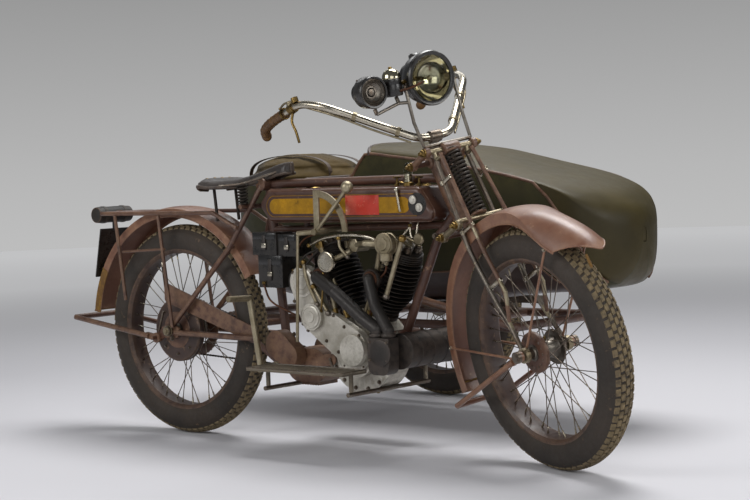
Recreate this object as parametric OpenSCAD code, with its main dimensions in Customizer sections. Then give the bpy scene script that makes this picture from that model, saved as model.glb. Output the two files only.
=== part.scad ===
// Early flat-tank V-twin motorcycle with a girder fork and a torpedo sidecar on its left.
// Millimetres. +X is forward, +Y is the sidecar's side, +Z is up, and the tyres stand on z = 0.

/* [Layout] */
// Distance between the front and rear axles, steered straight ahead
wheelbase = 1506; // [1440:1:1600]
// Angle of the steering head from the vertical, in degrees
rake = 27; // [24:1:29]
// Distance that the steering axis meets the ground ahead of the front axle
trail = 42; // [30:1:70]
// Steering angle at rest, in degrees, negative to the right
steer_rest = -20; // [-30:1:0]
// Distance from the motorcycle's centre plane to the sidecar wheel
track = 1150; // [1100:1:1250]
// Distance that the sidecar wheel stands ahead of the rear wheel
wheel_lead = 200; // [150:1:260]
// Distance from the rear axle forward to the origin
origin_ahead = 681; // [500:1:700]
// Distance from the motorcycle's centre plane to the origin, towards the sidecar
origin_aside = 475; // [300:1:500]

/* [Wheels] */
// Outer diameter of the tyres
tyre_d = 710; // [690:1:730]
// Width of the round tyre section
tyre_w = 100; // [80:1:104]
// Radius of the rim's bed
rim_r = 263; // [255:1:266]
// Height of the rim's flanges
rim_flange = 13; // [10:1:15]
// Width over the rim's flanges
rim_w = 72; // [66:1:76]
// Thickness of the rim
rim_t = 5; // [4:0.5:7]
// Number of spokes in each wheel
spokes = 40; // [28:4:40]
// Diameter of a spoke
spoke_d = 3.6; // [3:0.2:5]
// Distance between a hub's spoke flanges
hub_w = 64; // [56:1:70]
// Diameter of a hub's spoke flanges
hub_flange_d = 104; // [90:1:120]
// Diameter of the hub barrel
hub_d = 62; // [50:1:70]
// Diameter of the axles
axle_d = 20; // [16:1:24]
// Outer diameter of the rear brake drum
drum_d = 214; // [180:1:240]
// Depth of the rear brake drum
drum_h = 26; // [20:1:30]

/* [Frame] */
// Diameter of the main frame tubes
frame_d = 28; // [24:1:32]
// Diameter of the rear stays
stay_d = 18; // [16:1:22]
// Outer diameter of the steering head
head_d = 50; // [44:1:54]
// Distance between the rear stays and the centre plane
stay_y = 84; // [80:1:90]

/* [Tank] */
// Width of the fuel tank
tank_w = 150; // [130:1:170]
// Height of the fuel tank
tank_h = 104; // [95:1:110]
// Height of the tank's underside above the ground
tank_z = 718; // [716:1:724]

/* [Engine] */
// Angle between the cylinders, in degrees
vee = 50; // [45:1:55]
// Distance of the crankshaft ahead of the rear axle
crank_x = 808; // [790:1:830]
// Height of the crankshaft above the ground
crank_z = 312; // [300:1:330]
// Outer diameter of the cylinder fins
fin_d = 150; // [136:1:156]
// Number of fins on each cylinder
fins = 13; // [9:1:15]

/* [Sidecar] */
// Width of the sidecar body
body_w = 560; // [500:1:600]
// Length of the sidecar body
body_l = 1750; // [1600:1:1850]
// Thickness of the sidecar body's wall
body_t = 12; // [8:1:18]
// Distance from the motorcycle's centre plane to the body's centre
body_y = 745; // [730:1:760]

/* [Hidden] */
$fn = 48;
wheel_r = tyre_d / 2;
run_gap = 0.08;
seat_gap = 0.3;
joint_bead = 0.8;
axle_up = wheel_r * cos(rake) + trail * sin(rake);
axle_fwd = wheel_r * sin(rake) - trail * cos(rake);

// ---- helpers -------------------------------------------------------------------------------

// Everything is laid out from the rear axle's foot and then moved to the origin.
module placed() translate([-origin_ahead, -origin_aside, 0]) children();

// The steering head's own frame: X square to the axis and forward, Z up along the axis.
module on_head() translate([wheelbase + trail, 0, 0]) rotate([0, -rake, 0]) children();

// The same frame turned with the fork.
module steered() on_head() rotate([0, 0, steer_rest]) children();

// An upright frame at the front wheel's centre, turned with the fork.
module at_front_wheel() steered() translate([axle_fwd, 0, axle_up]) rotate([0, rake, 0]) children();

module at_rear_wheel() translate([0, 0, wheel_r]) children();

module at_sidecar_wheel() translate([wheel_lead, track, wheel_r]) children();

// A round bar between two points.
module bar(a, b, d, n = 48) {
    v = b - a;
    h = norm(v);
    translate(a) rotate([0, acos(v[2] / h), atan2(v[1], v[0])]) cylinder(d = d, h = h, $fn = n);
}

// Round bars along a list of points. A ball joins them at each corner, and they stop short of its centre.
module bars(points, d) {
    last = len(points) - 1;
    short = 0.8 * sqrt(pow((d + joint_bead) / 2, 2) - pow(d / 2, 2));
    for (i = [0:last - 1]) {
        along = (points[i + 1] - points[i]) / norm(points[i + 1] - points[i]);
        bar(points[i] + (i > 0 ? short : 0) * along, points[i + 1] - (i < last - 1 ? short : 0) * along, d);
    }
    for (i = [1:last - 1]) translate(points[i]) sphere(d = d + joint_bead);
}

// A cylinder along Y, centred.
module drum(d, w) rotate([90, 0, 0]) cylinder(d = d, h = w, center = true);

// Left and right copies.
module both() {
    children();
    mirror([0, 1, 0]) children();
}

function on_side(p, y) = [p[0], y, p[1]];

// ---- wheels --------------------------------------------------------------------------------

module tyre() color("#2b2724") rotate([90, 0, 0]) rotate_extrude() difference() {
    translate([wheel_r - tyre_w / 2, 0]) circle(d = tyre_w);
    translate([0, -tyre_w]) square([rim_r + run_gap, 2 * tyre_w]);
    for (side = [-1, 1]) translate([0, side * (rim_w / 2 + tyre_w / 2 - rim_t - run_gap) - tyre_w / 2])
        square([rim_r + rim_flange + run_gap, tyre_w]);
}

module rim() rotate([90, 0, 0]) rotate_extrude() {
    translate([rim_r - rim_t, -rim_w / 2]) square([rim_t, rim_w]);
    for (side = [-1, 1]) translate([rim_r - rim_t, side * (rim_w - rim_t) / 2 - rim_t / 2])
        square([rim_t + rim_flange, rim_t]);
}

// Crossed spokes from the two hub flanges to the middle of the rim.
module spoke_set() for (i = [0:spokes - 1]) {
    a = i * 360 / spokes;
    side = i % 2 == 0 ? 1 : -1;
    lean = floor(i / 2) % 2 == 0 ? 48 : -48;
    r = hub_flange_d / 2 - 5;
    foot = [r * cos(a + lean), side * hub_w / 2, r * sin(a + lean)];
    tip = [(rim_r - rim_t / 2) * cos(a), 0, (rim_r - rim_t / 2) * sin(a)];
    bar(foot, tip, spoke_d, 6);
}

module hub(w) {
    drum(hub_d, w);
    for (side = [-1, 1]) translate([0, side * hub_w / 2, 0]) drum(hub_flange_d, 5);
}

module wheel(w) color("#5a3a30") difference() {
    union() {
        rim();
        spoke_set();
        hub(w);
        children();
    }
    drum(axle_d + 2 * run_gap, 3 * w);
}

// A running axle: shaft, spacers from the hub to its carrier, and nuts outside the carrier.
module axle(hub_len, carrier_y, carrier_t, outer) {
    spacer_in = hub_len / 2 + seat_gap;
    spacer_out = carrier_y - carrier_t / 2 - seat_gap;
    drum(axle_d, 2 * outer);
    both() {
        translate([0, (spacer_in + spacer_out) / 2, 0]) drum(axle_d * 1.5, spacer_out - spacer_in);
        translate([0, outer - 7, 0]) drum(axle_d * 1.7, 12);
    }
}

rear_hub_w = 128;
front_hub_w = 104;
sidecar_hub_w = 100;
front_drum_d = 120;
fork_end_y = 76;
fork_end_t = 15.2;
dropout_t = 10;
stand_eye_t = 10;
rear_axle_half = stay_y + stay_d / 2 + 1 + seat_gap + 13;
front_axle_half = fork_end_y + fork_end_t / 2 + 3 + 3 * seat_gap + stand_eye_t + 13;

module rear_wheel() placed() at_rear_wheel() wheel(rear_hub_w) {
    translate([0, -hub_w / 2 - drum_h / 2 + 3, 0]) drum(drum_d, drum_h);
    translate([0, hub_w / 2 + 12, 0]) drum(190, 6);
}
module rear_tyre() placed() at_rear_wheel() tyre();
module front_wheel() placed() at_front_wheel() wheel(front_hub_w)
    translate([0, -hub_w / 2 - 6, 0]) drum(front_drum_d, 14);
module front_tyre() placed() at_front_wheel() tyre();
module sidecar_wheel() placed() at_sidecar_wheel() wheel(sidecar_hub_w);
module sidecar_tyre() placed() at_sidecar_wheel() tyre();

module rear_axle() color("#8a7d68") placed() at_rear_wheel()
    axle(rear_hub_w, stay_y, stay_d + 2, rear_axle_half);

module front_axle() color("#8a7d68") placed() at_front_wheel() {
    axle(front_hub_w, fork_end_y, fork_end_t, front_axle_half);
    both() translate([0, fork_end_y + fork_end_t / 2 + seat_gap + 1.5, 0]) drum(axle_d * 1.5, 3);
}

// ---- frame ---------------------------------------------------------------------------------

head_low = 778;
head_high = 982;
seat_lug = [400, 838];
seat_lug_d = 40;
bracket = [462, 256];
bracket_w = 108;
down_tube_foot = [952, 368];
tank_rail_z = 690;
plate_y = 54.5;
plate_t = 5;
rear_engine_lug = [694, 286];
front_engine_lug = [914, 296];
spring_bar = [352, 768];
rear_stand_pivot = [-60, 330];
stand_pin_d = 12;

function head_point(s) = [wheelbase + trail - s * sin(rake), s * cos(rake)];

module dropout(y) translate([0, y, wheel_r - 4]) {
    for (x = [-24, 24]) translate([x, 0, 0]) drum(40, dropout_t);
    cube([48, dropout_t, 40], center = true);
    hull() {
        translate([-30, 0, 0]) drum(30, dropout_t);
        translate([rear_stand_pivot[0], 0, rear_stand_pivot[1] - wheel_r + 4]) drum(30, dropout_t);
    }
    translate([rear_stand_pivot[0], 14, rear_stand_pivot[1] - wheel_r + 4]) drum(stand_pin_d, 40);
}

// A plate between two lugs, on both sides of the engine.
module plates(a, b, da, db) both() hull() {
    translate(on_side(a, plate_y)) drum(da, plate_t);
    translate(on_side(b, plate_y)) drum(db, plate_t);
}

module main_tubes() difference() {
    union() {
        on_head() translate([0, 0, head_low]) cylinder(d = head_d, h = head_high - head_low);
        bar(on_side(seat_lug, 0), on_side(head_point(948), 0), frame_d);
        bar([seat_lug[0] + 20, 0, tank_rail_z], on_side(head_point(head_low + frame_d / 2), 0), frame_d - 4);
        bars([on_side(head_point(840), 0), [1094, 0, 672], on_side(down_tube_foot, 0)], frame_d);
        bar(on_side(seat_lug, 0), on_side(bracket, 0), frame_d + 1);
        translate(on_side(bracket, 0)) drum(46, bracket_w);
        translate(on_side(seat_lug, 0)) drum(seat_lug_d, 84);
        translate(on_side(down_tube_foot, 0)) drum(36, bracket_w);
    }
    on_head() cylinder(d = head_d - 14, h = 1200);
}

module rear_stays() difference() {
    union() {
        bars([[0, stay_y, wheel_r - 6], [375, stay_y - 8, 342], [bracket[0] - 4, stay_y - 46, bracket[1] + 3]],
             stay_d + 2);
        bars([[0, stay_y, wheel_r + 8], [291, stay_y, 636], [seat_lug[0] - 3, 34, seat_lug[1] - 4]], stay_d);
        dropout(stay_y);
    }
    translate([0, stay_y, wheel_r]) drum(axle_d + 2 * seat_gap, 60);
}

module frame() color("#5d3e37") placed() {
    main_tubes();
    both() rear_stays();
    plates(bracket, rear_engine_lug, 40, 36);
    plates(down_tube_foot, front_engine_lug, 34, 32);
    bar(on_side(spring_bar, -90), on_side(spring_bar, 90), 16);
    both() bar([291, 64 + seat_gap, 636], [291, stay_y, 636], 12);
    for (x = [560, 1000]) bar([x, 0, tank_rail_z + 2], [x, 0, tank_z - seat_gap], 22);
}

// ---- tank ----------------------------------------------------------------------------------

tank_back = 424;
tank_front_gap = 42;
rail_d = frame_d + 2;

module tank_outline(inset) {
    r = 24;
    top = head_point((tank_z + tank_h) / cos(rake));
    low = head_point(tank_z / cos(rake));
    hull() {
        translate([tank_back + r + 20, tank_z + tank_h - r]) circle(r - inset, $fn = 32);
        translate([tank_back + r + 26, tank_z + r]) circle(r - inset, $fn = 32);
        translate([tank_back + r, tank_z + tank_h * 0.52]) circle(r - inset, $fn = 32);
        translate([top[0] - tank_front_gap - r, tank_z + tank_h - r]) circle(r - inset, $fn = 32);
        translate([low[0] - tank_front_gap - r - 12, tank_z + r]) circle(r - inset, $fn = 32);
    }
}

module fuel_tank() color("#5c3631") placed() {
    hull() for (step = [[0, 14], [4, 4], [12, 0]])
        rotate([90, 0, 0]) linear_extrude(tank_w - 2 * step[1], center = true) tank_outline(step[0]);
}

// ---- engine --------------------------------------------------------------------------------

case_d = 250;
case_w = 92;
boss_h = 26;
port_d = 46;
rear_port = [698, 548];
front_port = [906, 545];
barrel_start = 126;
head_start = 318;

module at_crank() translate([crank_x, 0, crank_z]) children();

module crankcase() color("#b4ac9c") placed() {
    at_crank() {
        drum(case_d, case_w);
        for (side = [-1, 1]) rotate([0, side * vee / 2, 0]) cylinder(d = 96, h = barrel_start);
        drum(150, 2 * (case_w / 2 + boss_h));
    }
    for (lug = [rear_engine_lug, front_engine_lug])
        translate(on_side(lug, 0)) drum(30, 2 * (plate_y - plate_t / 2 - seat_gap));
}

module cylinder_unit(side, port) {
    at_crank() rotate([0, side * vee / 2, 0]) {
        translate([0, 0, barrel_start + seat_gap]) cylinder(d = 92, h = head_start - barrel_start);
        for (i = [0:fins - 1]) translate([0, 0, barrel_start + 24 + i * (head_start - barrel_start - 30) / (fins - 1)])
            cylinder(d = fin_d - (i < 4 ? 12 * (4 - i) : 0), h = 4);
        translate([0, 0, head_start]) cylinder(d = 120, h = 34);
        translate([0, 0, head_start + 36]) rotate([90, 0, 0]) cylinder(d = 30, h = 110, center = true);
        translate([0, 0, head_start + 36]) rotate([0, 90, 0]) cylinder(d = 26, h = 96, center = true);
    }
    translate([port[0], -45, port[1]]) drum(port_d, 94);
}

module rear_cylinder() color("#26231f") placed() cylinder_unit(-1, rear_port);
module front_cylinder() color("#26231f") placed() cylinder_unit(1, front_port);

cover_y = -case_w / 2 - boss_h - seat_gap;
cover_t = 28;
module timing_cover() color("#b9b2a2") placed() translate([0, cover_y - cover_t / 2, 0]) {
    hull() {
        translate([622, 0, 530]) drum(104, cover_t);
        translate([664, 0, 424]) drum(104, cover_t);
    }
    hull() {
        translate([664, 0, 424]) drum(100, cover_t);
        translate([crank_x + 6, 0, crank_z + 20]) drum(120, cover_t);
    }
    translate([664, -cover_t / 2 - 6, 424]) drum(84, 14);
    translate([crank_x + 22, -cover_t / 2 - 7, crank_z + 14]) drum(96, 16);
}

module magneto() color("#1f1d1b") placed() {
    translate([578, cover_y + 50 + seat_gap, 528]) drum(84, 100);
    translate([540, cover_y + 20, 460]) cube([76, 76, 50]);
}

manifold_z = 645;
module carburettor() color("#b09a62") placed() {
    bar([crank_x - 81.4, 0, manifold_z], [crank_x + 81.4, 0, manifold_z], 28);
    translate([crank_x, -34, manifold_z]) drum(40, 60);
    bar([crank_x, -50, manifold_z], [880, -84, 652], 22);
    bar([872, -84, 652], [966, -84, 652], 24);
    translate([966, -98, 652]) drum(62, 34);
    translate([966, -98, 604]) cylinder(d = 30, h = 40);
}

// ---- exhaust -------------------------------------------------------------------------------

silencer_x = 1012;
silencer_z = 330;
silencer_d = 106;
box_top = 374;
module exhaust_pipes() color("#2a2725") placed() {
    bars([[rear_port[0], -92.4, rear_port[1]], [rear_port[0], -115, rear_port[1]], [790, -138, 506],
          [900, -140, 430], [956, -140, box_top + 24], [956, -140, box_top + seat_gap]], 40);
    bars([[front_port[0], -92.4, front_port[1]], [front_port[0], -113, front_port[1]], [940, -128, 470],
          [996, -136, box_top + 22], [996, -136, box_top + seat_gap]], 36);
}

module silencer() color("#1d1b1a") placed() {
    difference() {
        translate([silencer_x, 30, silencer_z]) drum(silencer_d, 270);
        translate([silencer_x, 165, silencer_z]) drum(30, 60);
    }
    hull() {
        translate([936, -164, 300]) cube([82, 48, box_top - 300]);
        translate([962, -140, 288]) drum(50, 48);
        translate([992, -140, 288]) drum(50, 48);
    }
}

// ---- transmission --------------------------------------------------------------------------

module gearbox() color("#4a3d33") placed() {
    hull() for (x = [552, 616]) translate([x, 0, 262]) drum(108, 2 * (plate_y - plate_t / 2 - seat_gap));
    for (i = [0:6]) translate([558 + i * 11, 0, 214]) cube([5, 90, 30], center = true);
}

clutch_y = plate_y + plate_t / 2 + seat_gap + 22;
module clutch_cover() color("#5a3c33") placed() hull() {
    translate([500, -clutch_y, 330]) drum(90, 44);
    translate([548, -clutch_y, 296]) drum(80, 44);
}

primary_y = case_w / 2 + boss_h + seat_gap + 13;
module primary_case() color("#4f352c") placed() hull() {
    translate([574, primary_y, 290]) drum(140, 26);
    translate([crank_x, primary_y, crank_z]) drum(150, 26);
}

module chain_guard() color("#5a3c33") placed() hull() {
    translate([-30, -63.3, 462]) drum(30, 4.4);
    translate([-30, -63.3, 496]) drum(30, 4.4);
    translate([360, -63.3, 336]) drum(20, 4.4);
    translate([360, -63.3, 370]) drum(20, 4.4);
}

// ---- controls ------------------------------------------------------------------------------

module gear_lever() color("#b8ad94") placed() {
    bar([716, -132, tank_rail_z], [862, -150, 820], 12);
    translate([864, -150, 826]) sphere(d = 38);
    bar([632, -124, 684], [716, -124, tank_rail_z], 16);
    bar([632, -124, 684], [614, -124, 345], 10);
    translate([0, -128, 0]) rotate([90, 0, 0]) linear_extrude(6) difference() {
        translate([716, tank_rail_z]) circle(r = 128);
        translate([716, tank_rail_z]) circle(r = 108);
        translate([560, 500]) square([400, tank_rail_z - 500]);
        translate([560, 500]) square([150, 400]);
    }
    translate([710, -134, tank_rail_z]) cube([22, 6, 128]);
    bar([716, -144, tank_rail_z], [716, -(frame_d - 4) / 2 - seat_gap, tank_rail_z + 2], 20);
}

board_z = 262;
board_posts = [[536, 202.8], [880, 201]];
module footboards() color("#8c8672") placed() for (side = [-1, 1]) {
    translate([500, side > 0 ? 130 : -240, board_z]) cube([400, 110, 10]);
    for (p = board_posts) translate([p[0], side * 180, p[1] + 7 + seat_gap])
        cylinder(d = 14, h = board_z - p[1] - 7);
}

module board_bars() color("#8c8672") placed()
    for (p = board_posts) bar(on_side(p, -196), on_side(p, 196), 14);

module kick_lever() color("#b3a88c") placed() {
    bars([[bracket[0], -134, bracket[1]], [438, -150, 480], [438, -246, 484]], 20);
    bar([bracket[0], -plate_y - plate_t / 2 - seat_gap, bracket[1]], [bracket[0], -142, bracket[1]], 26);
}

module tool_boxes() color("#201e1c") placed() {
    side = -frame_d / 2 - 1;
    translate([404, side - 77, 614]) cube([104, 77, 72]);
    translate([508 + seat_gap, side - 71, 610]) cube([80, 71, 70]);
    translate([424, side - 74, 510]) cube([104, 74, 104 - seat_gap]);
}

// ---- saddle --------------------------------------------------------------------------------

saddle_z = 848;
module saddle() color("#3a2f28") placed() {
    difference() {
        union() {
            hull() {
                translate([214, 0, saddle_z]) scale([1, 2.4, 1]) cylinder(d = 110, h = 22, $fn = 32);
                translate([350, 0, saddle_z]) scale([1, 1.4, 1]) cylinder(d = 130, h = 18, $fn = 32);
            }
            hull() {
                translate([350, 0, saddle_z]) scale([1, 1.4, 1]) cylinder(d = 130, h = 18, $fn = 32);
                translate([474, 0, saddle_z + 42]) cylinder(d = 60, h = 16, $fn = 32);
            }
        }
        translate(on_side(seat_lug, 0)) drum(seat_lug_d + 2 * seat_gap, 86);
        bar(on_side(seat_lug, 0), on_side(head_point(948), 0), frame_d + 2 * seat_gap);
    }
}

module saddle_springs() color("#2a2623") placed() for (side = [-1, 1]) {
    translate([spring_bar[0] - 4, side * 72, spring_bar[1] + 8 + seat_gap])
        cylinder(d = 32, h = saddle_z - spring_bar[1] - 8 - 2 * seat_gap);
    bar([194, side * 50, saddle_z - 1], [208, side * 50, 721.3], 12);
}

// ---- rear end ------------------------------------------------------------------------------

// A channel section swept over part of a wheel, from angle a to angle b.
module guard(radius, width, a, b, skirt) rotate([90, 0, 0]) rotate_extrude(angle = b - a, start = a) {
    translate([radius - 3, -width / 2]) square([3, width]);
    for (side = [-1, 1]) translate([radius - skirt, side * (width - 3) / 2 - 1.5]) square([skirt, 3]);
}

guard_r = wheel_r + 62;
module rear_mudguard() color("#5b3d35") placed() at_rear_wheel() guard(guard_r, 128, 28, 172, 30);

rack_z = 750;
rack_y = 92;
module luggage_rack() color("#4b3129") placed() {
    both() {
        bars([[-318, rack_y, rack_z], [227, rack_y, rack_z], [330, stay_y + 2, 700]], 14);
        bar([-245, rack_y + 4, rack_z - 7], [-206, rack_y + 4, 454], 12);
        bar([-30, rack_y + 4, rack_z - 7], [24, stay_y + stay_d / 2 + 6 + seat_gap, wheel_r + 12], 12);
        bar([-211, rack_y + 4, 619], [-4, rack_y + 4, 630], 9);
    }
    for (x = [-318, -240]) bar([x, -rack_y, rack_z], [x, rack_y, rack_z], 14);
    translate([-366, 0, 745]) drum(52, 150);
    bar([-366, 0, 745], [-318, 0, rack_z], 20);
}

module number_plate() color("#141414") placed() {
    translate([-392, 0, 528]) rotate([0, 11.8, 0]) translate([-2, -65, 0]) cube([4, 130, 172]);
    translate([-359, 0, 690]) cylinder(d = 12, h = 28.7);
}

// ---- sidecar -------------------------------------------------------------------------------

chassis_z = 345;
chassis_d = 30;
chassis_in = 500;
chassis_out = 990;
chassis_back = -300;
chassis_front = 1000;
spring_cross = [wheel_lead - 40, 700];
hub_stub = track + sidecar_hub_w / 2 + 24;
module sidecar_chassis() color("#4a332c") placed() {
    bars([[chassis_back, chassis_in, chassis_z], [chassis_front, chassis_in, chassis_z],
          [chassis_front, chassis_out, chassis_z], [chassis_back, chassis_out, chassis_z],
          [chassis_back, chassis_in + 20, chassis_z]], chassis_d);
    for (x = spring_cross) bar([x, chassis_in, chassis_z], [x, chassis_out, chassis_z], chassis_d);
    bar([wheel_lead, chassis_out - 10, chassis_z + 2], [wheel_lead, track - 60, wheel_r], 34);
    translate([wheel_lead, (track + hub_stub) / 2 - 32, wheel_r]) drum(axle_d, hub_stub - track + 64);
    translate([wheel_lead, hub_stub - 8, wheel_r]) drum(axle_d * 1.7, 14);
    bar([chassis_front, chassis_in, chassis_z], [994, 17.7, 476], 26);
    bar([60, chassis_in, chassis_z], [60, stay_y + 9.3, 350], 24);
    bar([420, chassis_in, chassis_z], [417, 21.4, 700], 22);
}

coaming_z = 838;
cowl_x = 410;
keel_z = 408;
cockpit_back = 130;
ring_n = 40;

// Sections of the body from tail to nose: distance ahead of the rear axle, half width as a share of
// the widest, keel height, seam height and deck height.
tail_rows = [
    [-398, 0.08, 650], [-370, 0.33, 590], [-320, 0.54, 530], [-240, 0.75, 465], [-140, 0.90, 425],
    [0, 0.985, 409], [130, 1, 408], [409.5, 1, 408]];
bow_rows = [
    [410, 1, 408, 929, 964], [525, 1, 408, 916, 956], [690, 0.99, 412, 895, 938], [800, 0.985, 420, 878, 912],
    [930, 0.98, 436, 857, 877], [1023, 0.96, 445, 837, 856], [1101, 0.935, 450, 816, 836], [1188, 0.875, 456, 782, 808],
    [1240, 0.80, 462, 745, 788], [1268, 0.72, 468, 715, 774], [1300, 0.57, 486, 684, 753], [1335, 0.33, 530, 655, 718],
    [1348, 0.13, 585, 641, 680], [1350, 0.04, 612, 636, 662]];

// Row i of a table, moved inwards by the wall and kept off the two ends.
body_back = -400;
function along(x) = body_back + (x - body_back) * body_l / 1750;
function half_w(row) = row[1] * body_w / 2;
function inner_x(row) = along(row[0]) + (row[0] < -100 ? 1 : row[0] > 1200 ? -1 : 0) * body_t * 1.15;

// A cross-section below the seam: a flat top and a round-bilged hull.
function hull_ring(x, w, lo, hi) = [for (i = [0:ring_n - 1])
    let (a = 180 + 180 * i / (ring_n - 1), c = cos(a), s = -sin(a))
    [x, w * sign(c) * pow(abs(c), 0.42), hi - (hi - lo) * pow(abs(s), 0.75)]];

// A cross-section above the seam: a low crowned deck on a flat base.
function deck_ring(x, w, lo, hi) = [for (i = [0:ring_n - 1])
    let (a = 180 * i / (ring_n - 1))
    [x, w * cos(a), lo + (hi - lo) * pow(sin(a), 0.85)]];

module loft(rings) {
    n = len(rings[0]);
    m = len(rings);
    polyhedron(
        points = [for (r = rings) each r],
        faces = concat(
            [[for (i = [0:n - 1]) i]],
            [for (j = [0:m - 2], i = [0:n - 1])
                [j * n + i, (j + 1) * n + i, (j + 1) * n + (i + 1) % n, j * n + (i + 1) % n]],
            [[for (i = [0:n - 1]) (m - 1) * n + n - 1 - i]]));
}

module tub_outside() loft(concat(
    [for (r = tail_rows) hull_ring(along(r[0]), half_w(r), r[2], coaming_z)],
    [for (r = bow_rows) hull_ring(along(r[0]), half_w(r), r[2], r[3])]));

module tub_inside(top) loft(concat(
    [for (r = tail_rows) if (r[1] > 0.3) hull_ring(inner_x(r), half_w(r) - body_t, r[2] + body_t, coaming_z + top)],
    [for (r = bow_rows) if (r[1] > 0.3) hull_ring(inner_x(r), half_w(r) - body_t, r[2] + body_t, r[3] + top)]));

module deck_solid(inset, drop) {
    rows = [for (r = bow_rows) if (inset == 0 || r[1] > 0.3) r];
    function section(r, x) = deck_ring(x, half_w(r) - inset, r[3] - drop, max(r[3] + 2, r[4] - inset));
    loft(concat([section(rows[0], along(cowl_x) - 90)],
        [for (r = rows) section(r, inset > 0 ? inner_x(r) : along(r[0]))]));
}

module sidecar_body() color("#3f4029") placed() translate([0, body_y, 0]) difference() {
    tub_outside();
    tub_inside(-body_t);
    translate([0, 0, 20]) intersection() {
        tub_inside(0);
        translate([along(cockpit_back), -400, 700]) cube([2000, 800, 600]);
    }
}

cowl_sweep = 419;
module sidecar_deck() color("#55553a") placed() translate([0, body_y, seat_gap]) difference() {
    deck_solid(0, 0);
    deck_solid(body_t, 4);
    difference() {
        translate([0, -400, 600]) cube([along(cowl_x) - 80 + cowl_sweep, 800, 500]);
        translate([along(cowl_x) - 80 + cowl_sweep, 0, 500]) cylinder(r = cowl_sweep, h = 700);
    }
}

module sidecar_seat() color("#3f2c22") placed() translate([0, body_y, 0]) {
    translate([0, -125, keel_z + body_t + 7]) cube([300, 250, 60]);
    translate([-10, -200, keel_z + 60]) cube([370, 400, 120]);
    translate([-50, -190, keel_z + 180 + seat_gap]) cube([90, 380, 200]);
}

module sidecar_hood() color("#55503a") placed() translate([0, body_y, coaming_z + seat_gap]) hull() {
    translate([-110, 0, 0]) scale([1.25, 1, 1]) cylinder(d = 380, h = 10, $fn = 32);
    translate([-110, 0, 60]) scale([1.1, 1, 1]) cylinder(d = 300, h = 10, $fn = 32);
    translate([-130, 0, 88]) cylinder(d = 160, h = 10, $fn = 32);
}

module sidecar_springs() color("#33261f") placed()
    for (y = [chassis_in + 90, chassis_out - 90]) for (x = spring_cross) {
        translate([x - 130, y - 22, keel_z - 20]) cube([260, 44, 24.2]);
        translate([x - 12, y - 22, chassis_z + chassis_d / 2 + seat_gap]) cube([24, 44, 30]);
    }

module sidecar_mudguard() color("#3f4029") placed() at_sidecar_wheel() {
    guard(wheel_r + 45, 140, 10, 170, 40);
    for (a = [35, 145]) bar([(wheel_r + 30) * cos(a), -68, (wheel_r + 30) * sin(a)], [17.5 * cos(a), -76, 17.5 * sin(a)], 10);
}

// ---- fork and bars -------------------------------------------------------------------------

blade_y = 68;
top_blade_y = 56;
link_y = 84;
link_d = 16;
link_top = head_high + 22;
link_low = head_low - 10;
link_reach = 92;
module fork_stem() color("#6a4438") placed() steered() {
    translate([0, 0, head_low - 30]) cylinder(d = head_d - 20, h = head_high - head_low + 60);
    translate([0, 0, head_low - 30]) cylinder(d = head_d, h = 30 - seat_gap);
    translate([0, 0, head_high + seat_gap]) cylinder(d = head_d, h = 42);
    for (s = [link_low, link_top]) {
        both() bar([0, link_y, s], [link_reach, link_y, s + 4], link_d);
        bar([0, -link_y - 12, s], [0, link_y + 12, s], link_d + 2);
    }
}

// One side of the girder: a rear tube that bends forward to the wheel, and a front tube braced to it.
module blade() difference() {
    union() {
        bars([[84, top_blade_y, 985], [70, blade_y, 700], [74, blade_y, 646], [92, blade_y, 502],
              [108, blade_y, 440], [axle_fwd, fork_end_y, axle_up]], 14);
        bars([[116, top_blade_y, 985], [134, blade_y, 718], [136, blade_y, 648], [152, blade_y, 522],
              [108, blade_y, 440]], 12);
        translate([axle_fwd, fork_end_y, axle_up]) drum(44, fork_end_t);
        bar([84, top_blade_y, 978], [116, top_blade_y, 978], 12);
    }
    translate([axle_fwd, fork_end_y, axle_up]) drum(axle_d + 2 * seat_gap, 60);
}

module fork_girder() color("#8d7666") placed() steered() {
    both() blade();
    bar([link_reach, -link_y + link_d / 2 + seat_gap, link_top], [link_reach, link_y - link_d / 2 - seat_gap, link_top], 15);
    bar([link_reach, -link_y + link_d / 2 + seat_gap, 776], [link_reach, link_y - link_d / 2 - seat_gap, 776], 15);
    both() bar([84, top_blade_y, 976], [link_reach, top_blade_y + 2, link_top], 13);
    both() bar([66, blade_y, 776], [link_reach, blade_y, 776], 13);
}

module fork_spring() color("#2c2320") placed() steered() {
    translate([link_reach, 0, 896]) cylinder(d = 52, h = link_top - 8 - 896);
    translate([link_reach, 0, 784]) cylinder(d = 34, h = 113);
}

bar_d = 24;
bar_path = [[44, 60, 1072], [-54, 262, 1273], [-125, 290, 1324], [-199, 300, 1334]];
bar_end = bar_path[3];
bar_way = (bar_path[3] - bar_path[2]) / norm(bar_path[3] - bar_path[2]);
module handlebar() color("#b9b5ac") placed() steered() {
    both() bars(bar_path, bar_d);
    bar([44, -62, 1072], [44, 62, 1072], bar_d + 1);
    bar([0, 0, head_high + 42 + 2 * seat_gap], [0, 0, 1064], 32);
    bar([0, 0, 1050], [44, 0, 1072], 30);
}

module grips() color("#8a4b22") placed() steered() both()
    bars([bar_end + 0.5 * bar_way, bar_end + 112 * bar_way, [-376, 296, 1322]], 34);

// Each lever hangs from a collar that is slipped over the bar.
module control_levers() color("#a58a4e") placed() steered() both() {
    at = bar_path[2] + 0.5 * (bar_end - bar_path[2]);
    difference() {
        union() {
            bar(at - 12 * bar_way, at + 12 * bar_way, bar_d + 10);
            bars([at + [-6, 4, -13], at + [-16, 10, -34], at + [-20, 12, -108]], 9);
        }
        bar(at - 60 * bar_way, at + 60 * bar_way, bar_d + 2 * seat_gap);
    }
}

lamp_at = [143, 0, 1213];
lamp_d = 160;
module lamp_frame(at) translate(at) rotate([0, rake, 0]) children();

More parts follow.
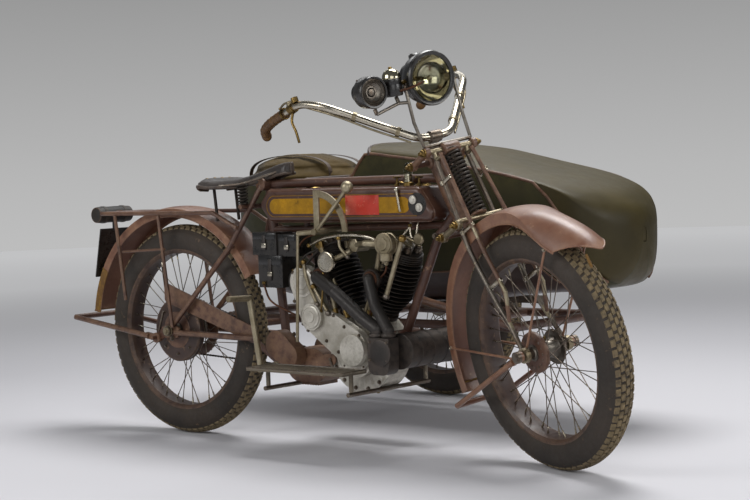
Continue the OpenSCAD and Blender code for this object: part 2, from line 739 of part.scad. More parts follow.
module headlamp() color("#4a4640") placed() steered() lamp_frame(lamp_at) rotate([0, 90, 0]) {
    translate([0, 0, -60]) cylinder(d = lamp_d, h = 70);
    translate([0, 0, -100]) cylinder(d = 110, h = 40);
}

horn_at = [112, -196, 1217];
module horn() color("#2a2725") placed() steered() lamp_frame(horn_at) rotate([0, 90, 0]) {
    translate([0, 0, -24]) cylinder(d = 95, h = 44);
    translate([0, 0, -64]) cylinder(d = 60, h = 40);
}

generator_at = [116, -115, 1226];
module generator() color("#3a3733") placed() steered() lamp_frame(generator_at) {
    translate([0, 0, -34]) cylinder(d = 56, h = 54);
    translate([0, 0, 20]) sphere(d = 54);
}

bracket_low = link_top + link_d / 2 + 6 + seat_gap;
module lamp_bracket() color("#4a4032") placed() steered() {
    both() bars([[link_reach, link_y, bracket_low + 4], [100, lamp_d / 2 + 8, 1100], [132, lamp_d / 2 + 8, 1208]], 10);
    both() bar([132, lamp_d / 2 + 8, 1208], [132, lamp_d / 2 + seat_gap, 1208], 12);
    bar([link_reach, -link_y, bracket_low + 4], [link_reach, link_y, bracket_low + 4], 11);
    bars([[118, -lamp_d / 2 - 8, 1160], [108, -115, 1168], [100, -196, 1150]], 10);
    bar([108, -115, 1166], [108, -115, 1188.5], 12);
    bar([100, -196, 1150], [100, -196, 1166.4], 12);
}

guard_foot_y = fork_end_y - fork_end_t / 2 - 4 - seat_gap;
module front_mudguard() color("#5f4037") placed() at_front_wheel() {
    guard(guard_r, 114, 50, 203, 36);
    both() {
        bar([0, guard_foot_y, 21], [(guard_r - 20) * cos(54), 59, (guard_r - 20) * sin(54)], 8);
        bar([0, guard_foot_y, -21], [-guard_r + 20, 59, -20], 8);
    }
}

// ---- stands --------------------------------------------------------------------------------

// A U-shaped stand that hangs from two eyes. It points backwards before it is turned.
module stand(length, half_w, d, pin_d) difference() {
    union() {
        both() bar([-34, half_w + 5, 0], [-length, half_w + 5, 0], d);
        both() translate([-48, half_w - stand_eye_t / 2, -d * 0.6]) cube([48, stand_eye_t, d * 1.2]);
        bar([-length, -half_w - 5, 0], [-length, half_w + 5, 0], d + 1);
        both() translate([0, half_w, 0]) drum(d * 1.9, stand_eye_t);
    }
    drum(pin_d + 2 * run_gap, 3 * half_w);
}

rear_stand_y = stay_y + dropout_t / 2 + seat_gap + stand_eye_t / 2;
front_stand_y = fork_end_y + fork_end_t / 2 + 3 + 2 * seat_gap + stand_eye_t / 2;
module rear_stand() color("#54372d") placed() translate(on_side(rear_stand_pivot, 0)) rotate([0, 8, 0])
    stand(412, rear_stand_y, 18, stand_pin_d);

module front_stand() color("#6b4638") placed() at_front_wheel() rotate([0, -28, 0])
    stand(398, front_stand_y, 16, axle_d);

frame();
fuel_tank();
crankcase();
rear_cylinder();
front_cylinder();
timing_cover();
magneto();
carburettor();
exhaust_pipes();
silencer();
gearbox();
clutch_cover();
primary_case();
chain_guard();
gear_lever();
footboards();
board_bars();
kick_lever();
tool_boxes();
saddle();
saddle_springs();
rear_mudguard();
luggage_rack();
number_plate();
rear_axle();
sidecar_chassis();
sidecar_body();
sidecar_deck();
sidecar_seat();
sidecar_hood();
sidecar_springs();
sidecar_mudguard();
fork_stem();
fork_girder();
fork_spring();
handlebar();
grips();
control_levers();
headlamp();
horn();
generator();
lamp_bracket();
front_mudguard();
front_axle();
front_tyre();
front_wheel();
rear_tyre();
rear_wheel();
sidecar_tyre();
sidecar_wheel();
rear_stand();
front_stand();
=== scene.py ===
import bpy, bmesh, math
from mathutils import Matrix, Vector, noise


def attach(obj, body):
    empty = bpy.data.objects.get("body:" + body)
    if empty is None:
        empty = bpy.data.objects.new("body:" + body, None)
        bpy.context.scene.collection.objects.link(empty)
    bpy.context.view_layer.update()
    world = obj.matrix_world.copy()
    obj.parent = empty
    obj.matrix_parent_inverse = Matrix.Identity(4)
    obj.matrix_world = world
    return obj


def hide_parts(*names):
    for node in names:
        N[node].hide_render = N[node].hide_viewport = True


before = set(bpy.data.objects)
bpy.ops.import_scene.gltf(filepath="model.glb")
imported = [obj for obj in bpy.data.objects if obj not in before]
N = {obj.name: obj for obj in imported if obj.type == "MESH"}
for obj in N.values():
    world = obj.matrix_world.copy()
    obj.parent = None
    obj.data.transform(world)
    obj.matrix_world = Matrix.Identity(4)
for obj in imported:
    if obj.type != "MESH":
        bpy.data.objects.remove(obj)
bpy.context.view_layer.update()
sin, cos, pi = math.sin, math.cos, math.pi
rad = math.radians


def move(x, y, z):
    return Matrix.Translation((x, y, z))


# Places are in millimetres: x ahead of the rear axle, y to the left of the frame's plane, z up.
AHEAD, ASIDE = 681, 475
MM = Matrix.Scale(0.001, 4)
PLACE = MM @ move(-AHEAD, -ASIDE, 0)
R = 355    # a wheel's radius, tyre and all
REAR = PLACE @ move(0, 0, R)
SIDE = PLACE @ move(200, 1150, R)
RAKE, TRAIL, WHEELBASE, STEER_AT_REST = rad(27), 42, 1506, rad(-20)
FOOT_X = WHEELBASE + TRAIL    # where the steering axis meets the floor
HEAD = PLACE @ move(FOOT_X, 0, 0) @ Matrix.Rotation(-RAKE, 4, 'Y') @ Matrix.Rotation(STEER_AT_REST, 4, 'Z')
AX_F, AX_U = R * sin(RAKE) - TRAIL * cos(RAKE), R * cos(RAKE) + TRAIL * sin(RAKE)
FRONT = HEAD @ move(AX_F, 0, AX_U) @ Matrix.Rotation(RAKE, 4, 'Y')
CRANK_X, CRANK_Z = 808, 312
CRANK = PLACE @ move(CRANK_X, 0, CRANK_Z)
CYLINDER_LEAN = rad(25)
BODY = PLACE @ move(0, 745, 0)
# Turns for a part that stands on z = 0: its top to the left, to the right and ahead.
TO_Y = Matrix.Rotation(-pi / 2, 4, 'X')
IN = Matrix.Rotation(pi / 2, 4, 'X')
TO_X = Matrix.Rotation(pi / 2, 4, 'Y')
UPSIDE_DOWN = Matrix.Rotation(pi, 4, 'X')


def about_y(i, n):
    """Step i of n round the Y axis."""
    return Matrix.Rotation(2 * pi * i / n, 4, 'Y')


def facing(side):
    """Turns a part that stands on z = 0 outwards, to the left (side > 0) or to the right."""
    return TO_Y if side > 0 else IN


def put(name, data):
    """Makes an object of the data and links it to the scene."""
    o = bpy.data.objects.new(name, data)
    bpy.context.scene.collection.objects.link(o)
    return o


# ---- camera first ----
cam_data = bpy.data.cameras.new("camera")
cam = put("camera", cam_data)
bpy.context.scene.camera = cam
eye = PLACE @ Vector((4420.6, -4227.8, 908.8))
right = Vector((0.76375, 0.64461, -0.03405))
up = Vector((-0.00679, 0.06076, 0.99813))
back = Vector((0.64548, -0.76209, 0.05078))
turn3 = Matrix((right, up, back)).transposed()
cam.matrix_world = Matrix.Translation(eye) @ turn3.to_4x4()
cam_data.sensor_width = 36
cam_data.lens = 86.14
cam_data.clip_end = 60


# ---- materials ----
def rgb(h):
    c = [int(h[i:i + 2], 16) / 255 for i in (1, 3, 5)]
    return tuple(((v + 0.055) / 1.055) ** 2.4 if v > 0.04 else v / 12.92 for v in c) + (1,)


def shader(nt, kind, **values):
    """A new shader node with values on its named inputs."""
    n = nt.nodes.new("ShaderNode" + kind)
    for name, value in values.items():
        n.inputs[name.replace("_", " ")].default_value = value
    return n


def ramp(nt, fac, stops):
    n = shader(nt, "ValToRGB")
    n.color_ramp.elements[0].position, n.color_ramp.elements[1].position = stops[0][0], stops[-1][0]
    n.color_ramp.elements[0].color, n.color_ramp.elements[1].color = stops[0][1], stops[-1][1]
    for p, c in stops[1:-1]:
        n.color_ramp.elements.new(p).color = c
    nt.links.new(fac, n.inputs[0])
    return n.outputs[0]


W, K = (1, 1, 1, 1), (0, 0, 0, 1)


def grey(v):
    return (v, v, v, 1)


def blend_rgb(nt, fac, a, b):
    n = shader(nt, "Mix")
    n.data_type = "RGBA"
    nt.links.new(fac, n.inputs[0])
    for sock, val in ((n.inputs[6], a), (n.inputs[7], b)):
        if isinstance(val, tuple):
            sock.default_value = val
        else:
            nt.links.new(val, sock)
    return n.outputs[2]


def combine(nt, how, a, b):
    n = shader(nt, "Math")
    n.operation = how
    nt.links.new(a, n.inputs[0])
    nt.links.new(b, n.inputs[1])
    return n.outputs[0]


def bump_from(nt, height, strength, distance):
    n = shader(nt, "Bump", Strength=strength, Distance=distance)
    nt.links.new(height, n.inputs["Height"])
    nt.links.new(n.outputs[0], nt.nodes["Principled BSDF"].inputs["Normal"])


def noise_tex(nt, scale, detail=5.0, rough=0.55, stretch=None):
    n = shader(nt, "TexNoise", Scale=scale, Detail=detail, Roughness=rough)
    src = shader(nt, "TexCoord").outputs["Object"]
    if stretch:
        mp = shader(nt, "Mapping", Scale=stretch)
        nt.links.new(src, mp.inputs[0])
        src = mp.outputs[0]
    nt.links.new(src, n.inputs["Vector"])
    return n.outputs[0]


def material(name, base, tone, worn, amount=0.3, rough=(0.4, 0.6), metal=0.0, bump=0.15, grain=90.0, coat=0.0,
             sheen=0.0, patch=7.0, edge=0.5, dust=None, stretch=None, cells=0.0):
    m = bpy.data.materials.new(name)
    m.use_nodes = True
    nt = m.node_tree
    b = nt.nodes["Principled BSDF"]
    big = noise_tex(nt, patch, 4)
    fine = noise_tex(nt, grain, 8, 0.65, stretch)
    mid = noise_tex(nt, grain * 0.28, 7, 0.7, stretch)
    col = blend_rgb(nt, ramp(nt, big, [(0.36, K), (0.64, W)]), rgb(base), rgb(tone))
    col = blend_rgb(nt, ramp(nt, fine, [(0.3, grey(0.45)), (0.6, K)]), col, rgb(tone))
    if worn:
        hi = 0.74 - 0.26 * amount
        col = blend_rgb(nt, ramp(nt, mid, [(hi - 0.03, K), (hi + 0.05, grey(0.85))]), col, rgb(worn))
        if edge:
            geo = shader(nt, "NewGeometry")
            where = combine(nt, "MULTIPLY", ramp(nt, geo.outputs["Pointiness"], [(0.51, K), (0.57, grey(edge))]),
                            ramp(nt, mid, [(0.35, K), (0.55, W)]))
            col = blend_rgb(nt, where, col, rgb(worn))
    if dust:
        geo = shader(nt, "NewGeometry")
        sep = shader(nt, "SeparateXYZ")
        nt.links.new(geo.outputs["Normal"], sep.inputs[0])
        where = combine(nt, "MULTIPLY", ramp(nt, sep.outputs[2], [(0.2, K), (1.0, grey(0.3))]),
                        ramp(nt, mid, [(0.35, K), (0.65, W)]))
        col = blend_rgb(nt, where, col, rgb(dust))
    nt.links.new(col, b.inputs["Base Color"])
    nt.links.new(ramp(nt, mid, [(0.3, grey(rough[0])), (0.7, grey(rough[1]))]), b.inputs["Roughness"])
    b.inputs["Metallic"].default_value = metal
    if coat:
        b.inputs["Coat Weight"].default_value = coat
        b.inputs["Coat Roughness"].default_value = 0.25
    if sheen:
        b.inputs["Sheen Weight"].default_value = sheen
    h = fine
    if cells:
        v = shader(nt, "TexVoronoi", Scale=cells)
        co = shader(nt, "TexCoord")
        nt.links.new(co.outputs["Object"], v.inputs["Vector"])
        h = blend_rgb(nt, ramp(nt, v.outputs["Distance"], [(0.0, K), (0.5, W)]), fine, (1, 1, 1, 1))
    bump_from(nt, h, bump, 0.0008)
    return m


def weave(name, base, tone, scale):
    m = material(name, base, tone, "#2a2416", 0.15, (0.8, 0.95), 0.0, 0.1, 60, 0, 0.08, 6, 0.0)
    nt = m.node_tree
    co = shader(nt, "TexCoord")
    hs = []
    for rot in ("X", "Y"):
        w = shader(nt, "TexWave", Scale=scale, Distortion=0.6)
        w.bands_direction = rot
        nt.links.new(co.outputs["Object"], w.inputs["Vector"])
        hs.append(w.outputs[1])
    bump_from(nt, combine(nt, "ADD", *hs), 0.4, 0.0006)
    return m


BROWN = material("brown_enamel", "#5b3d2f", "#432b22", "#8a6a50", 0.40, (0.34, 0.6), 0, 0.25, 120, 0.1, dust="#7a6350")
GUARD = material("guard_enamel", "#7c5540", "#653f30", "#a07c60", 0.34, (0.3, 0.52), 0, 0.2, 110, 0.15, dust="#8f7259")
RUSTY = material("rusty_edge", "#6a4a20", "#4a311b", "#8d6a2a", 0.6, (0.7, 0.9), 0, 0.5, 140)
TANK = material("tank_enamel", "#4d2f22", "#38211a", "#7b5b46", 0.25, (0.25, 0.45), 0, 0.15, 120, 0.25, dust="#6b523f")
OCHRE = material("ochre_panel", "#b88600", "#9c7200", "#5a4210", 0.34, (0.5, 0.7), 0, 0.12, 130, 0.0)
RED = material("red_patch", "#c8321c", "#a82a18", "#d6b08c", 0.35, (0.4, 0.6), 0, 0.15, 160, 0.1)
RUBBER = material("tyre_rubber", "#3d342c", "#2c2620", "#6a5846", 0.36, (0.62, 0.85), 0, 0.3, 160, edge=0.4,
        dust="#5d4f3f")
TREAD = material("tread_rubber", "#63573f", "#463c2f", "#8d7b5c", 0.45, (0.75, 0.95), 0, 0.45, 220, edge=0.5)
RIM = material("rim_enamel", "#3a2720", "#2a1b16", "#7a604a", 0.42, (0.35, 0.6), 0, 0.25, 130, 0.05)
ALU = material("cast_aluminium", "#cdc8bd", "#a09a8d", "#e8e4da", 0.38, (0.3, 0.5), 0.45, 0.55, 260, patch=16)
DIRTY_ALU = material("oily_aluminium", "#c4bfb3", "#857e72", "#e0dcd0", 0.36, (0.3, 0.55), 0.45, 0.6, 240, patch=16)
IRON = material("black_iron", "#1f1c19", "#131110", "#463a2e", 0.28, (0.4, 0.65), 0.4, 0.4, 200)
SOOT = material("exhaust_black", "#3a3633", "#282523", "#5b5048", 0.2, (0.36, 0.6), 0.5, 0.3, 180)
BLACK = material("black_enamel", "#151413", "#0d0c0c", "#35302b", 0.25, (0.2, 0.42), 0, 0.2, 140, 0.3, dust="#2c2a27")
NICKEL = material("nickel", "#cfc9bb", "#a39b8a", "#7c6a4c", 0.22, (0.16, 0.34), 1.0, 0.08, 200, patch=12)
STEEL = material("steel", "#8b857b", "#67615a", "#5d4632", 0.35, (0.28, 0.5), 0.95, 0.2, 220, patch=16)
BRASS = material("brass", "#a5884f", "#75603a", "#4a3e28", 0.3, (0.28, 0.45), 1.0, 0.15, 200, patch=20)
COPPER = material("copper", "#6e4733", "#523527", "#3f342c", 0.3, (0.35, 0.55), 0.9, 0.12, 200, patch=14)
LEATHER = material("leather", "#2b211b", "#1e1713", "#5a4635", 0.3, (0.38, 0.62), 0, 0.6, 150, 0.1, 0.05, edge=0.5,
        cells=420)
SEAT = material("seat_leather", "#3a2a20", "#291d17", "#5e4432", 0.28, (0.4, 0.62), 0, 0.6, 140, 0.1, 0.1, edge=0.4,
        cells=380)
CANVAS = weave("canvas", "#54431f", "#3a2e15", 260)
DECK = material("deck_olive", "#3d3416", "#30290f", "#5e5230", 0.16, (0.42, 0.58), 0, 0.08, 100, 0.0, dust="#5c5233")
OLIVE = material("body_olive", "#33300f", "#27250b", "#524b24", 0.2, (0.4, 0.58), 0, 0.08, 100, 0.0)
BAND = material("body_band", "#3a241c", "#2b1a15", "#5a4030", 0.2, (0.36, 0.55), 0, 0.1, 100, 0.1)
BEAD = material("beading", "#5a3a2a", "#44291f", "#8a6a4e", 0.3, (0.35, 0.55), 0, 0.15, 150, 0.1)
GRIP = material("grip_rubber", "#5c3d18", "#41290f", "#8a6534", 0.4, (0.4, 0.6), 0, 0.4, 180, patch=40)
BOARD = material("footboard", "#7a7060", "#5a5145", "#9f9480", 0.45, (0.5, 0.75), 0.3, 0.5, 200)
CREAM = material("old_nickel", "#b3a88f", "#8d8269", "#5d4f3a", 0.32, (0.3, 0.5), 0.8, 0.2, 220, patch=20)
# Near-black, rough paint for insides and undersides: painted shade inside the tub, under the cowl, under the saddle and
# round the seat's base.
PAINTED_SHADE = material("painted_shade", "#1c1814", "#13100e", "#2e261f", 0.2, (0.7, 0.9))
FIBRE = material("cable_cover", "#1d1a17", "#131110", "#4a3d30", 0.3, (0.5, 0.7), 0, 0.4, 300)


def glass(name, col, rough=0.04):
    m = material(name, col, col, None, 0, (rough, rough + 0.04), 0, 0.02, 60)
    b = m.node_tree.nodes["Principled BSDF"]
    b.inputs["Transmission Weight"].default_value = 1.0
    b.inputs["IOR"].default_value = 1.12
    return m


GLASS = glass("lamp_glass", "#e9ece6")
for m in (DECK, OLIVE, OCHRE, CANVAS):
    m.node_tree.nodes["Principled BSDF"].inputs["Specular IOR Level"].default_value = 0.28
REFLECTOR = material("reflector", "#cfc9b4", "#a9a288", "#8f8468", 0.1, (0.05, 0.14), 1.0, 0.03, 120, patch=18)


# ---- mesh tools ----
class Piece:
    """Collects meshes in millimetres and makes one object of them."""
    def __init__(self, name, body, mat, base=PLACE):
        self.name, self.body, self.mat, self.base = name, body, mat, base
        self.v, self.f, self.m, self.mats = [], [], [], [mat]

    def add(self, vf, m=None, mat=None):
        vs, fs = vf
        k = len(self.v)
        t = self.base @ m if m is not None else self.base
        self.v += [t @ Vector(p) for p in vs]
        mat = mat or self.mat
        if mat not in self.mats:
            self.mats.append(mat)
        self.f += [tuple(k + i for i in f) for f in fs]
        self.m += [self.mats.index(mat)] * len(fs)
        return self

    def done(self, *replaced, sharp=38, slot=None, sub=0):
        me = bpy.data.meshes.new(self.name)
        me.from_pydata([tuple(p) for p in self.v], [], self.f)
        me.validate()
        for x in self.mats:
            me.materials.append(x)
        if len(me.polygons) == len(self.m):
            me.polygons.foreach_set("material_index", self.m)
        bm = bmesh.new()
        bm.from_mesh(me)
        bmesh.ops.recalc_face_normals(bm, faces=bm.faces)
        bm.to_mesh(me)
        bm.free()
        me.polygons.foreach_set("use_smooth", [True] * len(me.polygons))
        me.set_sharp_from_angle(angle=rad(sharp))
        me.update()
        o = put(self.name, me)
        if sub:
            s = o.modifiers.new("smooth", "SUBSURF")
            s.levels = s.render_levels = sub
        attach(o, self.body)
        if replaced:
            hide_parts(*replaced)
        return o


def band(a, b, n):
    """Faces between two rings of n points that start at a and b."""
    return [(a + i, a + (i + 1) % n, b + (i + 1) % n, b + i) for i in range(n)]


def spin(profile, n=48, closed=False):
    """A profile of (radius, height) turned about Z."""
    v, f, rows = [], [], []
    for r, h in profile:
        if r < 1e-6:
            rows.append([len(v)])
            v.append((0, 0, h))
        else:
            rows.append(list(range(len(v), len(v) + n)))
            v += [(r * cos(2 * pi * i / n), r * sin(2 * pi * i / n), h) for i in range(n)]
    pairs = list(zip(rows, rows[1:])) + ([(rows[-1], rows[0])] if closed else [])
    for a, b in pairs:
        for i in range(n):
            j = (i + 1) % n
            if len(a) == 1 and len(b) > 1:
                f.append((a[0], b[j], b[i]))
            elif len(b) == 1 and len(a) > 1:
                f.append((a[i], a[j], b[0]))
            elif len(a) > 1:
                f.append((a[i], a[j], b[j], b[i]))
    return v, f


def rod(d, h, bevel=1.0, n=32, z=0.0):
    r = d / 2
    b = min(bevel, r * 0.6, h * 0.4)
    return spin([(0, z), (r - b, z), (r, z + b), (r, z + h - b), (r - b, z + h), (0, z + h)], n)


def ball(d, n=24, squash=1.0):
    return spin([(d / 2 * sin(pi * i / 12), -d / 2 * cos(pi * i / 12) * squash) for i in range(13)], n)


def nut(d, h):
    """A hexagon nut with a washer, standing on z = 0."""
    v, f = rod(d * 1.25, h * 0.25, 0.4, 24)
    pts = []
    for z, s in ((h * 0.25, 1.0), (h * 0.85, 1.0), (h, 0.86)):
        pts.append([(d * s / 2 * cos(pi * i / 3), d * s / 2 * sin(pi * i / 3), z) for i in range(6)])
    k = len(v)
    for ring in pts:
        v = v + ring
    for a in (k, k + 6):
        f += band(a, a + 6, 6)
    f.append(tuple(k + 12 + i for i in range(6)))
    w, g = rod(d * 0.5, h * 0.35, 0.6, 12, h * 0.9)
    k = len(v)
    return v + w, f + [tuple(k + i for i in q) for q in g]


def block(sx, sy, sz, b=2.0):
    """A box with rounded edges, centred."""
    v, f = [], []
    h, e = sz / 2, b * 0.3
    for z, k in ((-h, b), (-h + e, e), (-h + b, 0), (h - b, 0), (h - e, e), (h, b)):
        x, y, c = sx / 2 - k, sy / 2 - k, b
        for cx, cy, a0 in ((x - c, y - c, 0), (-x + c, y - c, 90), (-x + c, -y + c, 180), (x - c, -y + c, 270)):
            for a in (0, 30, 60, 90):
                v.append((cx + c * cos(rad(a0 + a)), cy + c * sin(rad(a0 + a)), z))
    for k in range(0, 80, 16):
        f += band(k, k + 16, 16)
    f += [tuple(range(15, -1, -1)), tuple(80 + i for i in range(16))]
    return v, f


def soften(points, radius, steps=5):
    """Rounds the corners of a line of points."""
    pts = [Vector(p) for p in points]
    out = [pts[0]]
    for a, b, c in zip(pts, pts[1:], pts[2:]):
        r = min(radius, (a - b).length * 0.45, (c - b).length * 0.45)
        p, q = b + (a - b).normalized() * r, b + (c - b).normalized() * r
        out += [p.lerp(b, t).lerp(b.lerp(q, t), t) for t in [i / steps for i in range(steps + 1)]]
    return out + [pts[-1]]


def through(points, steps=6):
    """A smooth curve through the points."""
    p = [Vector(q) for q in points]
    p = [2 * p[0] - p[1]] + p + [2 * p[-1] - p[-2]]
    out = []
    for a, b, c, d in zip(p, p[1:], p[2:], p[3:]):
        for i in range(steps):
            t = i / steps
            out.append(0.5 * (2 * b + (c - a) * t + (2 * a - 5 * b + 4 * c - d) * t * t
                              + (3 * b - a - 3 * c + d) * t ** 3))
    return out + [p[-2]]


def pipe(points, r, n=12, caps=True, closed=False):
    """A tube along points; r is one radius or one per point."""
    pts = [Vector(p) for p in points]
    rs = r if isinstance(r, (list, tuple)) else [r] * len(pts)
    v, f = [], []
    side = None
    m = len(pts)
    for i, p in enumerate(pts):
        a, b = (pts[i - 1], pts[(i + 1) % m]) if closed else (pts[max(0, i - 1)], pts[min(m - 1, i + 1)])
        t = (b - a).normalized()
        if side is None:
            side = t.orthogonal().normalized()
        side = (side - t * side.dot(t)).normalized()
        other = t.cross(side)
        v += [p + rs[i] * (cos(2 * pi * k / n) * side + sin(2 * pi * k / n) * other) for k in range(n)]
    for i in range(m if closed else m - 1):
        j = (i + 1) % m
        f += band(i * n, j * n, n)
    if caps and not closed:
        f += [tuple(range(n - 1, -1, -1)), tuple((m - 1) * n + k for k in range(n))]
    return v, f


def curved(points, r, n=12):
    """A tube along a smooth curve through the points."""
    return pipe(through(points), r, n)


def coil(r, wire, h, turns, n=14):
    """A coil spring standing on z = 0."""
    steps = int(turns * n)
    return pipe([(r * cos(2 * pi * i / n), r * sin(2 * pi * i / n),
            wire + (h - 2 * wire) * i / steps) for i in range(steps + 1)], wire, 8)


def hull_ring(centres, r, n=72):
    """The outline around circles, found by its support points."""
    out = []
    for i in range(n):
        d = (cos(2 * pi * i / n), sin(2 * pi * i / n))
        c = max(centres, key=lambda q: q[0] * d[0] + q[1] * d[1])
        out.append((c[0] + r * d[0], c[1] + r * d[1]))
    return out


def skin(rings, close=True, caps=False):
    n = len(rings[0])
    v = [p for ring in rings for p in ring]
    f = []
    for j in range(len(rings) - 1):
        for i in range(n if close else n - 1):
            f.append((j * n + i, j * n + (i + 1) % n, (j + 1) * n + (i + 1) % n, (j + 1) * n + i))
    if caps:
        f += [tuple(range(n - 1, -1, -1)), tuple((len(rings) - 1) * n + i for i in range(n))]
    return v, f


def paint(node, mat):
    o = N[node]
    o.data.materials.clear()
    o.data.materials.append(mat)


# ---- wheels ----
CORD_R, CORD = 303, 47.5    # the tyre's section: its centre's radius and its own


def carcass(y):
    return CORD_R + math.sqrt(max(0.0, CORD ** 2 - y * y))


def wheel(base, body, hub_half, front_drum=False, rear_drum=False):
    t = Piece(body + "_tyre_casing", body, RUBBER, base)
    prof = []
    for i in range(41):
        a = rad(-128 + 256 * i / 40)
        r, y = CORD_R + CORD * cos(a), CORD * sin(a)
        k = abs(math.degrees(a))
        r += 0.9 * (1 if 62 < k < 66 or 78 < k < 81 or 104 < k < 108 else 0)
        prof.append((r, y))
    prof += [(266, 30), (264, 26), (264, -26), (266, -30)]
    t.add(spin(prof, 96, True), TO_Y)
    n = 78
    for y, half, shift in ((0, 6.2, 0), (13.5, 5.6, 0.5), (-13.5, 5.6, 0.5), (26, 5.4, 0), (-26, 5.4, 0)):
        for i in range(n):
            a = 2 * pi * (i + shift) / n
            da = 2 * pi / n * 0.38
            vs = []
            for lift, shrink in ((-1.5, 1.0), (4.0 if abs(y) < 30 else 3.2, 0.86)):
                for sa, sy in ((-1, -1), (1, -1), (1, 1), (-1, 1)):
                    yy = y + sy * half * shrink
                    rr = carcass(yy) + lift
                    aa = a + sa * da * shrink + 0.10 * sy * da
                    vs.append((rr * cos(aa), yy, rr * sin(aa)))
            t.add((vs, [(4, 5, 6, 7), (0, 1, 5, 4), (1, 2, 6, 5), (2, 3, 7, 6), (3, 0, 4, 7)]), mat=TREAD)
    t.done(body.replace("wheel", "tyre"), slot="tyre_rubber", sharp=30)

    w = Piece(body + "_rim_spokes_hub", body, RIM, base)
    w.add(spin([(258, -28), (256.5, -10), (256.5, 10), (258, 28), (266, 35.5), (275, 36), (277, 34), (275.5, 31.5),
            (268, 30), (262, 25), (260.5, 10), (260.5, -10), (262, -25), (268, -30), (275.5, -31.5), (277, -34),
            (275, -36), (266, -35.5)], 96, True), TO_Y)
    for i in range(40):
        a = 2 * pi * i / 40
        side = 1 if i % 2 == 0 else -1
        lean = rad(48) * (1 if (i // 2) % 2 == 0 else -1)
        foot = Vector((47 * cos(a + lean), side * 33, 47 * sin(a + lean)))
        tip = Vector((257 * cos(a), side * 5, 257 * sin(a)))
        w.add(pipe([foot, tip], 1.5, 6), mat=STEEL)
        w.add(pipe([tip.lerp(foot, 0.09), tip], [2.2, 3.2], 8), mat=NICKEL)
        w.add(pipe([foot + Vector((0, -side * 5, 0)), foot + Vector((0, side * 3, 0))], 2.6, 8), mat=STEEL)
    h = hub_half
    w.add(spin([(11.5, -h), (17, -h), (19, -h + 4), (24, -h + 5), (25, -40), (30, -36), (50, -34.5), (52, -32),
            (50, -29.5), (34, -28), (28, -16), (26, 0), (28, 16), (34, 28), (50, 29.5), (52, 32), (50, 34.5), (30, 36),
            (25, 40), (24, h - 5), (19, h - 4), (17, h), (11.5, h)], 48), TO_Y, STEEL)
    w.add(rod(9, 12, 1, 12), move(0, 0, 26), BRASS)
    if rear_drum:
        w.add(spin([(20, -56), (96, -56), (104, -54.5), (107, -51), (107, -46), (105.5, -44), (105.5, -36), (107, -34),
                (107, -31), (104, -29.5), (40, -29.5)], 72), TO_Y, RIM)
        w.add(spin([(30, -57.5), (60, -57.5), (62, -55.5), (62, -55), (30, -55)], 48), TO_Y, BROWN)
        for i in range(8):
            w.add(nut(9, 5), about_y(i, 8) @ move(0, -55.8, 82) @ IN, STEEL)
        w.add(spin([(60, 42), (92, 42), (95, 43.5), (95, 45.5), (92, 47), (60, 47)], 60), TO_Y, BROWN)
        for i in range(38):
            w.add(block(6, 4, 8, 1), about_y(i, 38) @ move(0, 44.5, 93), STEEL)
    if front_drum:
        w.add(spin([(20, -45), (54, -45), (59, -43.5), (60, -40), (60, -34), (58, -31.5), (40, -31.5)], 60), TO_Y,
                BROWN)
        for i in range(16):
            w.add(spin([(2.2, 0), (3.4, 0), (3.6, 0.8), (3.0, 1.2), (2.2, 0.2)], 12),
                    about_y(i, 16) @ move(0, -45, 44) @ IN, STEEL)
    w.done(body, slot="rim_enamel")


wheel(FRONT, "front_wheel", 52, front_drum=True)
wheel(REAR, "rear_wheel", 64, rear_drum=True)
wheel(SIDE, "sidecar_wheel", 50)


# ---- mudguards ----
def guard(name, body, base, radius, a0, a1, half, skirt, crown, mat, tip=lambda s: 0.0, steps=60, drop=lambda a: 0.0):
    """A pressed guard: crowned across, with a rolled edge and side skirts."""
    p = Piece(name, body, mat, base)
    # Across: two points down each skirt, and 17 over the crown.
    cols = [-1.0, -1.0] + [-1 + 2 * i / 16 for i in range(17)] + [1.0, 1.0]
    rings = []
    for i in range(steps + 1):
        row = []
        t = i / steps
        for k, s in enumerate(cols):
            a = a0 + tip(s) + (a1 - a0 - tip(s)) * t
            w, d = half(a), skirt(a)
            r = radius - drop(a) - (crown(a) if callable(crown) else crown) * abs(s) ** 2.3
            y = w * s
            if k == 0 or k == 20:
                r -= d
            elif k == 1 or k == 19:
                r -= d * 0.5
            else:
                y *= 0.985
            row.append((r * cos(rad(a)), y, r * sin(rad(a))))
        rings.append(row)
    v, f = skin(rings, close=False)
    n = len(cols)
    inner, thick = [], 1.6
    for row in rings:
        for k, q in enumerate(row):
            q = Vector(q)
            c = Vector((q.x, 0, q.z)).normalized()
            side = -1 if k < 3 else 1 if k > 17 else 0
            inner.append(q - c * thick * (0 if k in (0, 20) else 1) - Vector((0, side * thick, 0)))
    m = len(v)
    v = v + [tuple(q) for q in inner]
    f = f + [tuple(m + i for i in reversed(q)) for q in f]
    last = (len(rings) - 1) * n
    for j in range(len(rings) - 1):
        for k in (0, n - 1):
            f.append((j * n + k, (j + 1) * n + k, m + (j + 1) * n + k, m + j * n + k))
    for k in range(n - 1):
        f.append((k, k + 1, m + k + 1, m + k))
        f.append((last + k + 1, last + k, m + last + k, m + last + k + 1))
    p.add((v, f))
    for k in (0, 20):
        p.add(pipe([rings[j][k] for j in range(len(rings))], 2.1, 8))
    for j in (0, len(rings) - 1):
        p.add(pipe([rings[j][k] for k in range(n)], 2.0, 8))
    return p


def ease(a, lo, hi):
    t = min(1.0, max(0.0, (a - lo) / (hi - lo)))
    return t * t * (3 - 2 * t)


